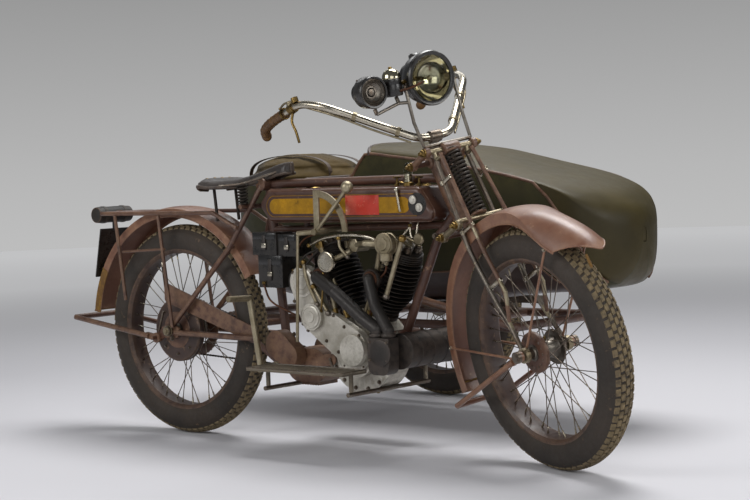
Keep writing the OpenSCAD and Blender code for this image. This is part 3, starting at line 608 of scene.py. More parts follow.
g = guard("front_guard", "steering", FRONT, 416, 44.5, 203, lambda a: 58 + 20 * (1 - ease(a, 62, 100)),
          lambda a: 7 + 25 * ease(a, 66, 92), lambda a: 9 + 52 * (1 - ease(a, 60, 92)), GUARD,
          tip=lambda s: 12.5 * abs(s) ** 1.5, drop=lambda a: -24 * (1 - ease(a, 44, 76)))
for s in (-1, 1):
    for a, r0 in ((63, 352), (183, 396)):
        end = Vector((r0 * cos(rad(a)), s * (74 if a < 90 else 59), r0 * sin(rad(a))))
        g.add(pipe([(0, s * 64.5, 21 if a < 90 else -21), end], 3.6, 10))
        g.add(nut(10, 5), move(*(end + Vector((0, s * 2, 0)))) @ facing(s), NICKEL)
g.add(pipe([(405 * cos(rad(199)), y, 405 * sin(rad(199))) for y in (-52, 0, 52)], 3.0, 8), mat=RUSTY)
g.add(pipe([(294, -40, 300), (296, -30, 268), (284, -20, 262)], 4, 8), mat=RUSTY)
g.done("front_mudguard", slot="maroon_enamel")

g = guard("rear_guard", "machine", REAR, 417, 28, 172, lambda a: 64, lambda a: 26 + 4 * ease(a, 120, 170), 8, GUARD)
g.done("rear_mudguard", slot="maroon_enamel")
tail = guard("rear_guard_tail", "machine", REAR, 417.4, 150, 172.4, lambda a: 64.3, lambda a: 30, 8, RUSTY, steps=12)
tail.done(slot="maroon_enamel")

g = guard("sidecar_guard", "machine", SIDE, 400, 10, 170, lambda a: 70, lambda a: 36, 10, OLIVE)
for a in (35, 145):
    g.add(pipe([(385 * cos(rad(a)), -69, 385 * sin(rad(a))), (17.5 * cos(rad(a)), -76, 17.5 * sin(rad(a)))], 4.6, 10),
            mat=BROWN)
    g.add(nut(11, 6), move(372 * cos(rad(a)), -72, 372 * sin(rad(a))) @ IN, STEEL)
g.done("sidecar_mudguard", slot="olive_enamel")

# ---- tank ----
TANK_HALF = 75
top_x, low_x = FOOT_X - 822 * math.tan(RAKE), FOOT_X - 718 * math.tan(RAKE)
centres = [(468, 798), (474, 742), (448, 772), (top_x - 66, 798), (low_x - 78, 742)]
tank = Piece("tank_shell", "machine", TANK)
levels = [(59 + 16 * sin(i / 6 * pi / 2), 14 * (1 - cos(i / 6 * pi / 2))) for i in range(7)]
rings = [[(x, -y, z) for x, z in hull_ring(centres, 24 - k, 96)] for y, k in reversed(levels)]
rings += [[(x, y, z) for x, z in hull_ring(centres, 24 - k, 96)] for y, k in levels]
tank.add(skin(rings, True, True))
for s in (-1, 1):
    tank.add(pipe([(x, s * 61, z) for x, z in hull_ring(centres, 24.4, 96)], 1.6, 6, closed=True))
tank.done("fuel_tank", slot="tank_enamel", sharp=50)


def panel(name, x0, x1, z0, z1, mat, lift):
    p = Piece(name, "machine", mat)
    r = (z1 - z0) / 2
    for s in (-1, 1):
        ring = hull_ring([(x0 + r, z0 + r), (x1 - r, z0 + r)], r, 48)
        outer = [(x, s * (TANK_HALF + 0.1 + lift), z) for x, z in ring]
        inner = [(x, s * (TANK_HALF - 0.2), z) for x, z in hull_ring([(x0 + r, z0 + r), (x1 - r, z0 + r)], r + 0.3, 48)]
        v, f = skin([inner, outer] if s < 0 else [outer, inner])
        k = 0 if s > 0 else 48
        f.append(tuple(k + i for i in range(48)))
        p.add((v, f))
    return p


panel("tank_panel", 470, 1044, 744, 792, OCHRE, 0.5).done(slot="tank_enamel")
line = Piece("tank_lining", "machine", OCHRE)
for s in (-1, 1):
    line.add(pipe([(x, s * (TANK_HALF + 0.2), z) for x, z in hull_ring([(490, 768), (1062, 768)], 33, 60)], 0.9, 6,
            closed=True))
line.done(slot="tank_enamel")
patch = Piece("tank_patch", "machine", RED)
for s in (-1, 1):
    patch.add(block(134, 1.4, 60, 0.6), move(858, s * (TANK_HALF + 0.6), 769))
patch.done(slot="tank_enamel")

fit = Piece("tank_fittings", "machine", TANK)
for s in (-1, 1):
    fit.add(spin([(0, 0), (33, 0), (34, 1.2), (33, 2.4), (0, 2.6)], 40), move(1073, s * 74.6, 770) @ facing(s), BLACK)
    for x, z in ((1060, 783), (1084, 760)):
        fit.add(spin([(0, 0), (12, 0), (13, 2), (13, 5), (11, 6.5), (8, 7), (7, 9), (0, 9.5)], 28),
                move(x, s * 76.6, z) @ facing(s), DIRTY_ALU)
fit.add(spin([(0, 0), (26, 0), (27, 3), (24, 6), (24, 14), (22, 17), (0, 18)], 36), move(1010, 36, 820), BRASS)
fit.add(spin([(0, 0), (24, 0), (25, 3), (22, 6), (22, 12), (20, 15), (0, 16)], 36), move(560, 32, 820), BRASS)
fit.add(pipe([(1012, -38, 818), (1012, -38, 860)], 11, 16), mat=NICKEL)
fit.add(spin([(13.5, 0), (14, 4), (14, 40), (12, 52), (6, 60), (0, 62)], 28), move(1012, -38, 832), GLASS)
fit.add(rod(34, 14, 2, 24), move(1012, -38, 822), BRASS)
for x in (970, 1056):
    fit.add(pipe([(x, -40, 818), (x, -40, 850)], 4, 10), mat=BRASS)
    fit.add(pipe([(x, -56, 850), (x, -24, 850)], 3.2, 10), mat=BRASS)
    fit.add(rod(16, 10, 1.5, 6), move(x, -40, 822), BRASS)
fit.add(curved([(970, -40, 828), (985, -44, 836), (1012, -40, 826)], 2.6, 8), mat=BRASS)
fit.add(pipe([(1000, -82, 812), (1016, -86, 748)], 4.4, 12), mat=NICKEL)
fit.add(ball(15), move(1000, -82, 814), NICKEL)
fit.add(curved([(1012, -30, 722), (1012, -36, 690), (1022, -40, 668), (1036, -40, 672), (1040, -36, 700),
        (1042, -30, 724)], 3.6, 10), mat=NICKEL)
fit.add(spin([(0, 0), (15, 0), (18, 3), (18, 9), (15, 12), (0, 13)], 32), move(1052, -40, 664) @ IN, CREAM)
fit.done(slot="nickel")

# ---- engine ----

def barrel(node, side, port):
    """A finned barrel and head with its rocker gear, along the cylinder's own axis."""
    base = CRANK @ Matrix.Rotation(side * CYLINDER_LEAN, 4, 'Y')
    p = Piece(node + "_detail", "machine", IRON, base)
    p.add(rod(98, 12, 1.5, 48, 126.4))
    for i in range(4):
        p.add(nut(13, 9), Matrix.Rotation(pi / 4 + i * pi / 2, 4, 'Z') @ move(42, 0, 138), STEEL)
    prof = [(0, 138), (39, 138)]
    for i in range(13):
        z = 150 + i * 162 / 12
        r = 72 - (6 * (4 - i) if i < 4 else 0)
        prof += [(40, z - 3), (r - 1, z - 0.6), (r, z + 0.8), (r - 1, z + 2.2), (40, z + 4.4)]
    prof += [(58, 318), (60, 320), (60, 350), (56, 353), (0, 353)]
    p.add(spin(prof, 56))
    for i in range(5):
        z = 322 + i * 7
        p.add(spin([(56, z), (66 - i, z + 0.8), (66.5 - i, z + 1.8), (66 - i, z + 2.8), (56, z + 3.6)], 48))
    # Rocker shaft, rockers, valve springs and pushrod tubes stand on the head.
    p.add(rod(26, 108, 2, 24, -54), move(0, 0, 366) @ TO_Y, CREAM)
    for y in (-52, 52):
        p.add(nut(17, 9), move(0, y, 366) @ facing(y), BRASS)
    for y in (-24, 24):
        p.add(block(26, 12, 30, 3), move(0, y, 362), DIRTY_ALU)
        for k in (-1, 1):
            p.add(coil(12, 2, 20, 4), move(k * 32, y, 352), STEEL)
            p.add(rod(22, 4, 1, 20), move(k * 32, y, 372), STEEL)
        p.add(pipe([(-38, y, 376), (-12, y, 381), (12, y, 381), (38, y, 376)], [4, 6.5, 6.5, 4], 10), mat=CREAM)
    p.done(node, slot="black_iron")
    q = Piece(node + "_port", "machine", IRON)
    px, pz = port
    q.add(spin([(0, -14), (30, -14), (33, -10), (33, 2), (30, 6), (26, 13), (25, 46), (0, 46)], 40),
            move(px, -92, pz) @ TO_Y)
    q.add(spin([(20, 0), (27, 0), (29, 3), (29, 9), (27, 12), (20, 12)], 12), move(px, -104, pz) @ TO_Y, BRASS)
    q.done(slot="black_iron")
    for i, (y, foot) in enumerate(((-62, -66), (-78, -80))):
        t = Piece("%s_pushrod_%d" % (node, i), "machine", CREAM)
        top = PLACE.inverted() @ (base @ Vector((-side * (12 + i * 22), y, 364)))
        low = Vector((CRANK_X + side * (30 + 36 * i), foot, 420 + 6 * i))
        t.add(pipe([low, top], 7.4, 14))
        t.add(pipe([low, low.lerp(top, 0.1)], 9.5, 14), mat=BRASS)
        t.add(pipe([low.lerp(top, 0.92), top], 8.5, 14), mat=BRASS)
        t.done(slot="nickel")


barrel("rear_cylinder", -1, (698, 548))
barrel("front_cylinder", 1, (906, 545))

engine = Piece("engine_details", "machine", DIRTY_ALU)
for i in range(14):
    a = 2 * pi * i / 14
    engine.add(nut(11, 6), move(CRANK_X + 113 * cos(a), -46, CRANK_Z + 113 * sin(a)) @ IN, STEEL)
engine.add(spin([(0, 0), (74, 0), (75, 3), (70, 5), (64, 5), (62, 9), (40, 10), (38, 7), (20, 7), (18, 12), (0, 13)],
        56), move(CRANK_X, -72.2, CRANK_Z) @ IN)
for i in range(8):
    a = 2 * pi * i / 8
    engine.add(nut(8, 4), move(CRANK_X + 55 * cos(a), -79, CRANK_Z + 55 * sin(a)) @ IN, STEEL)
y0 = -100.8
for x, z, r in ((622, 530, 46), (664, 424, 36), (830, 326, 42)):
    engine.add(spin([(0, 0), (r, 0), (r, 2), (r * 0.9, 4), (r * 0.82, 4), (r * 0.78, 2), (r * 0.5, 2), (r * 0.45, 5),
            (r * 0.2, 6), (0, 6)], 48), move(x, y0 - (14 if r == 36 else 8 if r == 42 else 0) + (0.4 if r != 46 else 0),
            z) @ IN, ALU)
for x, z in ((584, 560), (622, 578), (662, 560), (670, 500), (586, 470), (620, 400), (640, 380), (700, 462), (748, 430),
        (790, 396), (716, 350), (764, 318), (850, 372), (866, 340), (600, 496)):
    engine.add(nut(9.5, 5), move(x, y0 + 1.0, z) @ IN, STEEL)
engine.add(spin([(0, 0), (31, 0), (33, 4), (33, 12), (30, 14), (26, 14), (25, 12), (0, 12)], 44),
        move(736, -104, 596) @ IN, NICKEL)
engine.add(curved([(736, -92, 600), (760, -70, 612), (790, -40, 634)], 9, 14), mat=CREAM)
for pts, r, m in (([(635, -106, 594), (647, -106, 539), (685, -104, 463)], 6, CREAM),
        ([(673, -104, 518), (730, -104, 437)], 6.5, CREAM), ([(1032, -100, 668), (962, -100, 493)], 7.5, CREAM),
        ([(642, -84, 645), (710, -86, 669), (813, -88, 678), (901, -86, 669), (940, -80, 640)], 5, NICKEL),
        ([(770, -88, 668), (776, -90, 640), (800, -84, 610)], 5, CREAM)):
    engine.add(curved(pts, r, 14), mat=m)
    engine.add(ball(r * 3.2), move(*pts[0]), BRASS)
    engine.add(ball(r * 3.0), move(*pts[-1]), STEEL)
# Oil pipes, union nuts and the ignition leads.
for pts, r, m in (([(966, -98, 604), (960, -96, 570), (930, -92, 540), (900, -86, 470), (872, -84, 420)], 3.2, COPPER),
                  ([(1012, -36, 700), (980, -60, 664), (930, -84, 668), (880, -90, 650)], 3.0, NICKEL),
                  ([(560, -70, 560), (600, -60, 610), (640, -50, 628), (668, -40, 640)], 3.4, FIBRE),
                  ([(590, -66, 566), (680, -60, 640), (800, -56, 664), (900, -48, 652), (936, -40, 640)], 3.4, FIBRE),
                  ([(622, -104, 575), (610, -108, 620), (640, -100, 668), (700, -90, 684)], 3.0, COPPER),
                  ([(450, -94, 520), (480, -98, 470), (540, -92, 440), (600, -100, 424)], 3.2, COPPER),
                  ([(700, -104, 438), (712, -112, 470), (722, -116, 520), (716, -104, 570)], 3.2, BRASS)):
    engine.add(curved(pts, r, 10), mat=m)
    engine.add(rod(13, 10, 1.5, 6), move(*pts[0]), BRASS)
for a in range(6):
    engine.add(spin([(0, 0), (6, 0), (6, 4), (0, 4)], 6), move(690 + 4 * a, -57.5, 286 - 10 * a) @ IN, STEEL)
# Fins under the crankcase and the drain plug.
for i in range(6):
    engine.add(block(3.5, 84, 16, 1.2), move(770 + 15 * i, 0, 190 + abs(i - 2.5) * 1.5), DIRTY_ALU)
engine.add(nut(20, 12), move(850, -20, 200) @ UPSIDE_DOWN, BRASS)
engine.done(slot="cast_aluminium")

magneto = Piece("magneto_details", "machine", BLACK)
magneto.add(spin([(0, 0), (30, 0), (33, 3), (33, 8), (28, 12), (0, 13)], 36), move(578, 24, 528) @ TO_Y, BLACK)
for i in range(5):
    magneto.add(spin([(41.6, 0), (43.4, 0.6), (43.4, 7.4), (41.6, 8)], 48), move(578, -56 + 16 * i, 528) @ TO_Y, STEEL)
magneto.add(block(14, 60, 30, 3), move(578, -20, 486), BRASS)
magneto.done(slot="black_enamel")

carb = Piece("carburettor_details", "machine", CREAM)
for x in (736, 880):
    carb.add(spin([(14, 0), (21, 0), (22, 2), (22, 9), (21, 11), (14, 11)], 6), move(x - 5, 0, 645) @ TO_X)
carb.add(spin([(0, 0), (33, 0), (34.5, 3), (33.5, 7), (31, 8), (31, 26), (33.5, 27), (34.5, 31), (33, 34), (20, 36),
        (18, 40), (0, 41)], 44), move(966, -78, 652) @ IN)
carb.add(spin([(0, 0), (18, 0), (20, 3), (20, 24), (24, 26), (24, 30), (0, 31)], 32), move(966, -98, 600))
carb.add(nut(14, 9), move(966, -98, 598) @ UPSIDE_DOWN)
carb.add(spin([(20, 0), (23, 1), (23, 9), (20, 10)], 6), move(808, -58, 645) @ IN)
carb.done(slot="brass")

exhaust = Piece("exhaust_details", "machine", SOOT)
for px, pz, d in ((698, 548, 26), (906, 545, 24)):
    exhaust.add(spin([(d - 6, 0), (d + 1, 0), (d + 3, 3), (d + 3, 12), (d + 1, 15), (d - 6, 15)], 12),
            move(px, -94, pz) @ IN, COPPER)
for px, py, d in ((956, -140, 23), (996, -136, 21)):
    exhaust.add(spin([(d - 4, 0), (d, 0), (d + 1.5, 2), (d + 1.5, 9), (d, 11), (d - 4, 11)], 36), move(px, py, 376))
for y in (-108, -60, 0, 60, 120, 158):
    exhaust.add(spin([(52.6, 0), (54.2, 0.8), (54.2, 6.2), (52.6, 7)], 64), move(1012, y, 330) @ TO_Y)
exhaust.add(spin([(0, 0), (38, 0), (40, 1.5), (40, 3), (36, 4.5), (14, 6), (0, 6)], 40), move(986, -164, 330) @ IN)
for qx, qz in ((944, 308), (944, 362), (1010, 308), (1010, 362)):
    exhaust.add(nut(8, 4), move(qx, -164, qz) @ IN, STEEL)
exhaust.done(slot="black_iron")


# ---- sidecar body ----
HALF, DECK_Z = 280, 838
FALL, ROUND = 0.75, 0.42    # powers that shape the hull's section, down and across
# Each row: x, its share of the half width, and the heights of the keel, the side's edge and the deck's crown.
TAIL = [(-398, 0.08, 650, 838, 838), (-370, 0.33, 590, 838, 838), (-320, 0.54, 530, 838, 838),
        (-240, 0.75, 465, 838, 838), (-140, 0.90, 425, 838, 838), (0, 0.985, 409, 838, 838), (130, 1, 408, 838, 838),
        (300, 1, 408, 838, 930)]
BOW = [(425, 1, 408, 927, 963), (525, 1, 408, 916, 956), (690, 0.99, 412, 895, 938), (800, 0.985, 420, 878, 912),
        (930, 0.98, 436, 857, 877), (1023, 0.96, 445, 837, 856), (1101, 0.935, 450, 816, 836),
        (1188, 0.875, 456, 782, 808), (1240, 0.80, 462, 745, 788), (1268, 0.72, 468, 715, 774),
        (1300, 0.57, 486, 684, 753), (1335, 0.33, 530, 655, 718), (1348, 0.13, 585, 641, 680),
        (1350, 0.04, 612, 636, 662)]
ROWS = TAIL + BOW


def row_at(x, k):
    """Value k of the body's table at x, along a curve that never overshoots."""
    xs = [r[0] for r in ROWS]
    ys = [r[k] for r in ROWS]
    x = min(max(x, xs[0]), xs[-1])
    i = max(j for j in range(len(xs) - 1) if xs[j] <= x or j == 0)
    h = [b - a for a, b in zip(xs, xs[1:])]
    d = [(b - a) / c for a, b, c in zip(ys, ys[1:], h)]

    def slope(j):
        if j == 0 or j == len(xs) - 1:
            return d[0] if j == 0 else d[-1]
        if d[j - 1] * d[j] <= 0:
            return 0.0
        w1, w2 = 2 * h[j] + h[j - 1], h[j] + 2 * h[j - 1]
        return (w1 + w2) / (w1 / d[j - 1] + w2 / d[j])
    t = (x - xs[i]) / h[i]
    a, b = slope(i) * h[i], slope(i + 1) * h[i]
    return ((2 * t ** 3 - 3 * t * t + 1) * ys[i] + (t ** 3 - 2 * t * t + t) * a
            + (3 * t * t - 2 * t ** 3) * ys[i + 1] + (t ** 3 - t * t) * b)


def half_width(x):
    return row_at(x, 1) * HALF


def side_top(x):
    return DECK_Z + (row_at(425, 3) - DECK_Z) * ease(x, 330, 425) if x < 425 else row_at(x, 3)


def line_z(x):
    """Height of the beaded line between hull and deck. Towards the nose it dives to the keel."""
    drop = [(1101, 816), (1150, 768), (1200, 694), (1245, 600), (1285, 486)]
    if x <= 1101:
        return side_top(x)
    for (a, za), (b, zb) in zip(drop, drop[1:]):
        if x <= b:
            return max(row_at(x, 2) + 1, min(side_top(x), za + (zb - za) * (x - a) / (b - a)))
    return row_at(x, 2) + 1


def hull_point(x, t, inset=0.0):
    """t runs 0 to 1 from the right edge, under the keel, to the left edge; 0.3 and 0.7 are the band's line."""
    w, lo, hi = half_width(x) - inset, row_at(x, 2) + inset, side_top(x)
    zl = line_z(x) if inset == 0 else hi
    zb = min(lo + (109 if inset == 0 else 60) * (1 - ease(x, 1060, 1200)) + 0.5, zl - 0.3 if inset == 0 else hi - 1)
    ab, al = [math.asin(min(1.0, ((hi - q) / (hi - lo)) ** (1 / FALL))) for q in (zb, zl)]
    if t <= 0.3:
        a = al + t / 0.3 * (ab - al)
    elif t < 0.7:
        a = ab + (t - 0.3) / 0.4 * (pi - 2 * ab)
    else:
        a = pi - ab + (t - 0.7) / 0.3 * (ab - al)
    c, s = -cos(a), abs(sin(a))
    w = max(w, 2)
    return (x, w * math.copysign(abs(c) ** ROUND, c), hi - (hi - lo) * s ** FALL)


def stations(a, b, n):
    return [a + (b - a) * (0.5 - 0.5 * cos(pi * i / n)) for i in range(n + 1)]


xs = stations(-398, 130, 22) + stations(130, 1350, 56)[1:]
ts = [0.3 * i / 12 for i in range(12)] + [0.3 + 0.4 * i / 24 for i in range(25)]
ts += [0.7 + 0.3 * i / 12 for i in range(1, 13)]
tub = Piece("sidecar_tub", "machine", OLIVE, BODY)
split = max(i for i, x in enumerate(xs) if x < 1185)
for lo, hi, m in ((0, 12, OLIVE), (12, 36, BAND), (36, 48, OLIVE)):
    for part, colour in ((xs[:split + 1], m), (xs[split:], OLIVE if m is OLIVE else DECK)):
        tub.add(skin([[hull_point(x, t) for t in ts[lo:hi + 1]] for x in part], False), mat=colour)
tub.add(([hull_point(-398, t) for t in ts], [tuple(range(len(ts)))]))
for k in (-1, 1):
    cheek = []
    for x in [q for q in xs if q > 1095]:
        w, lo, hi = max(2, half_width(x)), row_at(x, 2), side_top(x)
        ring = []
        for i in range(15):
            z = hi + (line_z(x) - hi) * i / 14
            c = math.sqrt(max(0.0, 1 - min(1.0, ((hi - z) / (hi - lo)) ** (1 / FALL)) ** 2))
            ring.append((x, k * w * c ** ROUND, z))
        cheek.append(ring)
    tub.add(skin(cheek, False), mat=DECK)
tub.add(([hull_point(1350, t) for t in ts], [tuple(range(len(ts)))]))
xi = [x for x in xs if -310 < x < 1290]
# The tub's inner skin is painted near-black: painted shade inside the cockpit.
tub.add(skin([[hull_point(x, t, 11) for t in ts] for x in xi], False), mat=PAINTED_SHADE)
open_x = [x for x in xs if 130 <= x <= 1290]
for e in (0, -1):
    tub.add(skin([[hull_point(x, ts[e]), hull_point(x, ts[e], 11)] for x in open_x], False))
# The closed rear deck, a little crowned, with its back board and the cockpit's own bulkhead.
tub.add(skin([[(x, half_width(x) * (i / 10 - 1),
        DECK_Z + 5 * (1 - (i / 10 - 1) ** 2)) for i in range(21)] for x in xs if x <= 130], False), mat=DECK)
wall = [hull_point(118, t, 11) for t in ts]
tub.add((wall + [(118, q[1], DECK_Z) for q in wall], [(i, i + 1, 49 + i + 1, 49 + i) for i in range(48)]), mat=SEAT)
for k in (-1, 1):
    e = 0 if k < 0 else -1
    tub.add(pipe([hull_point(x, ts[e]) for x in xs if x < 452], 5.5, 10), mat=BEAD)
    line_x = [x for x in xs if -392 < x < 1150]
    tub.add(pipe([hull_point(x, 0.3 if k < 0 else 0.7) for x in line_x], 3.4, 8), mat=BEAD)
tub.add(pipe([(130, 275 * (i / 8 - 1), 842 + 4 * (1 - (i / 8 - 1) ** 2)) for i in range(17)], 8, 12), mat=SEAT)
tub.done("sidecar_body", slot="olive_enamel", sharp=60)


def deck_point(a, t):
    """a is the angle over the crown and t runs from the cowl's swept rear edge to the nose."""
    edge = 749 - math.sqrt(419 ** 2 - (HALF * cos(a)) ** 2)
    x = edge + (1350 - edge) * (1 - (1 - t) ** 1.9)
    q = max(x, 425)
    w, lo, hi = half_width(q), row_at(q, 3), row_at(q, 4)
    return (x, w * cos(a), lo + (hi - lo) * max(0.0, sin(a)) ** 0.85)


deck = Piece("sidecar_cowl", "machine", DECK, BODY)
angles = [pi * i / 48 for i in range(49)]
rings = [[deck_point(a, i / 70) for a in angles] for i in range(71)]
deck.add(skin(rings, False))
for k in (0.0, -1.2):
    deck.add(([(1349 + k, y * 1.05, z) for _, y, z in rings[-1]] + [(1349 + k, -11, 615), (1349 + k, 11, 615)],
            [tuple(range(51))]))
# The cowl's underside, 9 mm below its top, is painted near-black: painted shade under the cowl.
deck.add(skin([[Vector(p) - Vector((0, p[1] * 0.03, 9)) for p in ring] for ring in rings[:64]], False), mat=PAINTED_SHADE)
deck.add(skin([rings[0], [Vector(p) - Vector((0, p[1] * 0.03, 9)) for p in rings[0]]], False))
deck.add(pipe([Vector(p) + Vector((-1, 0, -5)) for p in rings[0]], 7.5, 12), mat=SEAT)
for a in (0, 48):
    k = 1 if a == 0 else -1
    edge = [Vector(rings[i][a]) + Vector((0, k * 0.5, 0)) for i in range(70) if rings[i][a][0] < 1090]
    edge += [Vector(hull_point(x, 1.0 if k > 0 else 0.0)) for x in stations(1101, 1284, 30)]
    deck.add(pipe(edge, 5, 10), mat=BEAD)
deck.done("sidecar_deck", slot="olive_enamel", sharp=60)


# ---- soft goods ----
def soft_form(name, half, at, tilt=0.0, crown=0.12, seams=(), pull=0.05):
    """A stuffed cushion: crowned top and bottom, sides that pull in between the corners, and sewn channels."""
    nx, ny = 44, 60
    v, f = [], []
    hx, hy, hz = half

    def point(u, w, side):
        k = 5.0
        x, y = hx * u, hy * w
        edge = (1 - abs(u) ** k) * (1 - abs(w) ** k)
        z = hz * max(edge, 0) ** 0.30
        x *= 1 - pull * (1 - w * w) * abs(u) ** 8
        y *= 1 - pull * (1 - u * u) * abs(w) ** 8
        z *= 1 - crown * (u * u + w * w) * 0.5
        if side > 0:
            for s in seams:
                z -= 9 * math.exp(-((y - s) / 5.5) ** 2) * min(1, edge * 3)
            z += 1.4 * noise.noise(Vector((x, y, 3)) * 0.02) * edge * 3
        return (x, y, z * side)
    grid = {}
    for side in (1, -1):
        for i in range(nx + 1):
            for j in range(ny + 1):
                u = sin((i / nx - 0.5) * pi)
                w = sin((j / ny - 0.5) * pi)
                rim = i in (0, nx) or j in (0, ny)
                key = (i, j, 0 if rim else side)
                if key not in grid:
                    grid[key] = len(v)
                    v.append(point(u, w, side))
        for i in range(nx):
            for j in range(ny):
                corners = ((i, j), (i + 1, j), (i + 1, j + 1), (i, j + 1))
                q = [grid[(a, b, 0 if a in (0, nx) or b in (0, ny) else side)] for a, b in corners]
                f.append(tuple(q if side > 0 else reversed(q)))
    rim = [v[grid[(i, 0, 0)]] for i in range(nx + 1)] + [v[grid[(nx, j, 0)]] for j in range(1, ny + 1)]
    rim += [v[grid[(i, ny, 0)]] for i in range(nx - 1, -1, -1)] + [v[grid[(0, j, 0)]] for j in range(ny - 1, 0, -1)]
    p = Piece(name, "machine", SEAT, BODY @ move(*at) @ Matrix.Rotation(tilt, 4, 'Y'))
    p.add((v, f))
    cord = Piece(name + "_piping", "machine", SEAT, p.base)
    cord.add(pipe([(x * 0.995, y * 0.995, 0) for x, y, _ in rim], 3.2, 8, closed=True))
    return p, cord


seat, trim = soft_form("seat_cushion", (178, 192, 56), (172, 0, 528), seams=(-128, -64, 0, 64, 128))
seat = seat.done("sidecar_seat", slot="leather", sharp=70)
trim.done(slot="leather")
back_rest, trim = soft_form("seat_squab", (92, 182, 38), (0, 0, 688), tilt=rad(84), seams=(-120, -60, 0, 60, 120))
back_rest = back_rest.done(slot="leather", sharp=70)
trim.done(slot="leather")
# The block under the seat cushion is painted near-black: painted shade deep in the tub.
base = Piece("seat_base", "machine", PAINTED_SHADE, BODY)
base.add(block(296, 246, 58, 4), move(150, 0, 457))
base.done(slot="leather")


def hood_point(i, j, n, m):
    """The folded hood: layers of canvas that bulge between their creases."""
    a = 2 * pi * i / n
    t = j / m
    lift = 92 * t ** 0.8
    shrink = 1 - 0.58 * t ** 2.4
    fold = 0.052 * math.sin(lift / 92 * pi * 3.3 + 0.5 + 0.5 * math.sin(a)) * (1 - t * 0.6)
    wrinkle = 0.028 * noise.noise(Vector((3.1 * cos(a), 3.1 * sin(a), t * 6))) + 0.012 * math.sin(13 * a + 5 * t)
    k = shrink + fold + wrinkle - 0.05
    cx = -110 - 12 * t
    droop = -6 * (1 - t) * abs(sin(a)) + 5 * noise.noise(Vector((2 * cos(a), 2 * sin(a), 9 + t * 3)))
    return (cx + 232 * k * cos(a) * (1 + 0.06 * cos(2 * a)), 186 * k * sin(a), 840 + lift + droop * t)


n, m = 120, 46
v = [hood_point(i, j, n, m) for j in range(m + 1) for i in range(n)]
f = [face for j in range(m) for face in band(j * n, (j + 1) * n, n)]
top = len(v)
for q in range(1, 9):
    for i in range(n):
        p = Vector(hood_point(i, m, n, m))
        c = Vector((-122, 0, 932))
        g = p.lerp(c, q / 9)
        v.append((g.x, g.y, g.z + 3 * sin(q / 9 * pi) + 3.0 * noise.noise(g * 0.03)))
    k = top + (q - 1) * n
    f += band(k - n, k, n)
v.append((-122, 0, 933))
f += [(top + 7 * n + i, top + 7 * n + (i + 1) % n, len(v) - 1) for i in range(n)]
f.append(tuple(range(n - 1, -1, -1)))
hood = Piece("folded_hood", "machine", CANVAS, BODY)
hood.add((v, f))
hood = hood.done("sidecar_hood", slot="canvas", sharp=80, sub=1)
straps = Piece("hood_straps", "machine", LEATHER, BODY)
for y in (-92, 92):
    pts = []
    for k in range(25):
        t = k / 24
        rr = math.sqrt(max(0.02, 1 - (y / 200) ** 2))
        pts.append((-112 + 228 * rr * cos(pi * t), y, 841 + 91 * sin(pi * t) ** 0.55))
    for a, b in zip(pts, pts[1:]):
        a, b = Vector(a), Vector(b)
        d = (b - a).normalized()
        up_ = Vector((0, 1, 0)).cross(d).normalized() * -1.6
        s_ = Vector((0, 9, 0))
        straps.add(([a - s_, a + s_, b + s_, b - s_, a - s_ + up_, a + s_ + up_, b + s_ + up_, b - s_ + up_],
                    [(0, 1, 2, 3), (7, 6, 5, 4), (0, 3, 7, 4), (1, 5, 6, 2)]))
straps.done(slot="leather")

# ---- saddle ----
def saddle_point(u, w):
    """u from tail to nose, w from one edge to the other."""
    x = 162 + u * 340
    half = 26 + 104 * (1 - ease(u, 0.18, 0.80))
    tail = math.sqrt(max(0.0, 1 - ((0.16 - u) / 0.16) ** 2)) if u < 0.16 else 1.0
    nose = math.sqrt(max(0.0, 1 - ((u - 0.93) / 0.07) ** 2)) if u > 0.93 else 1.0
    half *= (0.35 + 0.65 * tail) * (0.15 + 0.85 * nose)
    z = 862 + 40 * ease(u, 0.42, 1.0) + 8 * (1 - ease(u, 0.0, 0.3))
    dip = 9 * (1 - w * w) * (1 - ease(u, 0.0, 0.6))
    drop = 12 * abs(w) ** 3 + 14 * abs(w) ** 8 + 16 * (1 - ease(u, 0.0, 0.09))
    return x, half * w, z - dip * 0.5 + 6 * (1 - w * w) * ease(u, 0.3, 0.8) - drop


sad = Piece("saddle_top", "machine", LEATHER)
nu, nw = 44, 30
top_rows = [[saddle_point(i / nu, 2 * j / nw - 1) for j in range(nw + 1)] for i in range(nu + 1)]
low_rows = [[(x, y * 0.97, z - 9) for x, y, z in row] for row in top_rows]
sad.add(skin(top_rows, False))
# The saddle's underside is painted near-black: painted shade under the saddle.
sad.add(skin(low_rows, False), mat=PAINTED_SHADE)
loop = [r[0] for r in top_rows] + top_rows[-1][1:]
loop += [r[-1] for r in reversed(top_rows[:-1])] + list(reversed(top_rows[0][1:-1]))
sad.add(pipe([(x, y, z - 4.5) for x, y, z in loop], 5.4, 8, closed=True))
for y in (-70, -35, 0, 35, 70):
    sad.add(spin([(0, 0), (7, 0), (7, 1.5), (4, 3.6), (0, 4.2)], 16), move(186, y, saddle_point(0.07, y / 110)[2] - 1),
            BRASS)
sad.add(curved([(176, -96, 846), (230, -112, 838), (348, -86, 842), (430, -36, 868), (474, 0, 884), (430, 36, 868),
        (348, 86, 842), (230, 112, 838), (176, 96, 846)], 5, 10), mat=STEEL)
sad = sad.done("saddle", slot="leather", sharp=60)
spr = Piece("saddle_spring_coils", "machine", IRON)
for s in (-1, 1):
    spr.add(coil(15, 3.2, 71, 6.5, 18), move(348, s * 72, 776.4))
    spr.add(rod(34, 4, 1, 24), move(348, s * 72, 776.3))
    spr.add(rod(34, 4, 1, 24), move(348, s * 72, 843.5))
    spr.add(pipe([(194, s * 50, 847), (208, s * 50, 721.6)], 5.2, 12))
spr.done("saddle_springs", slot="steel")


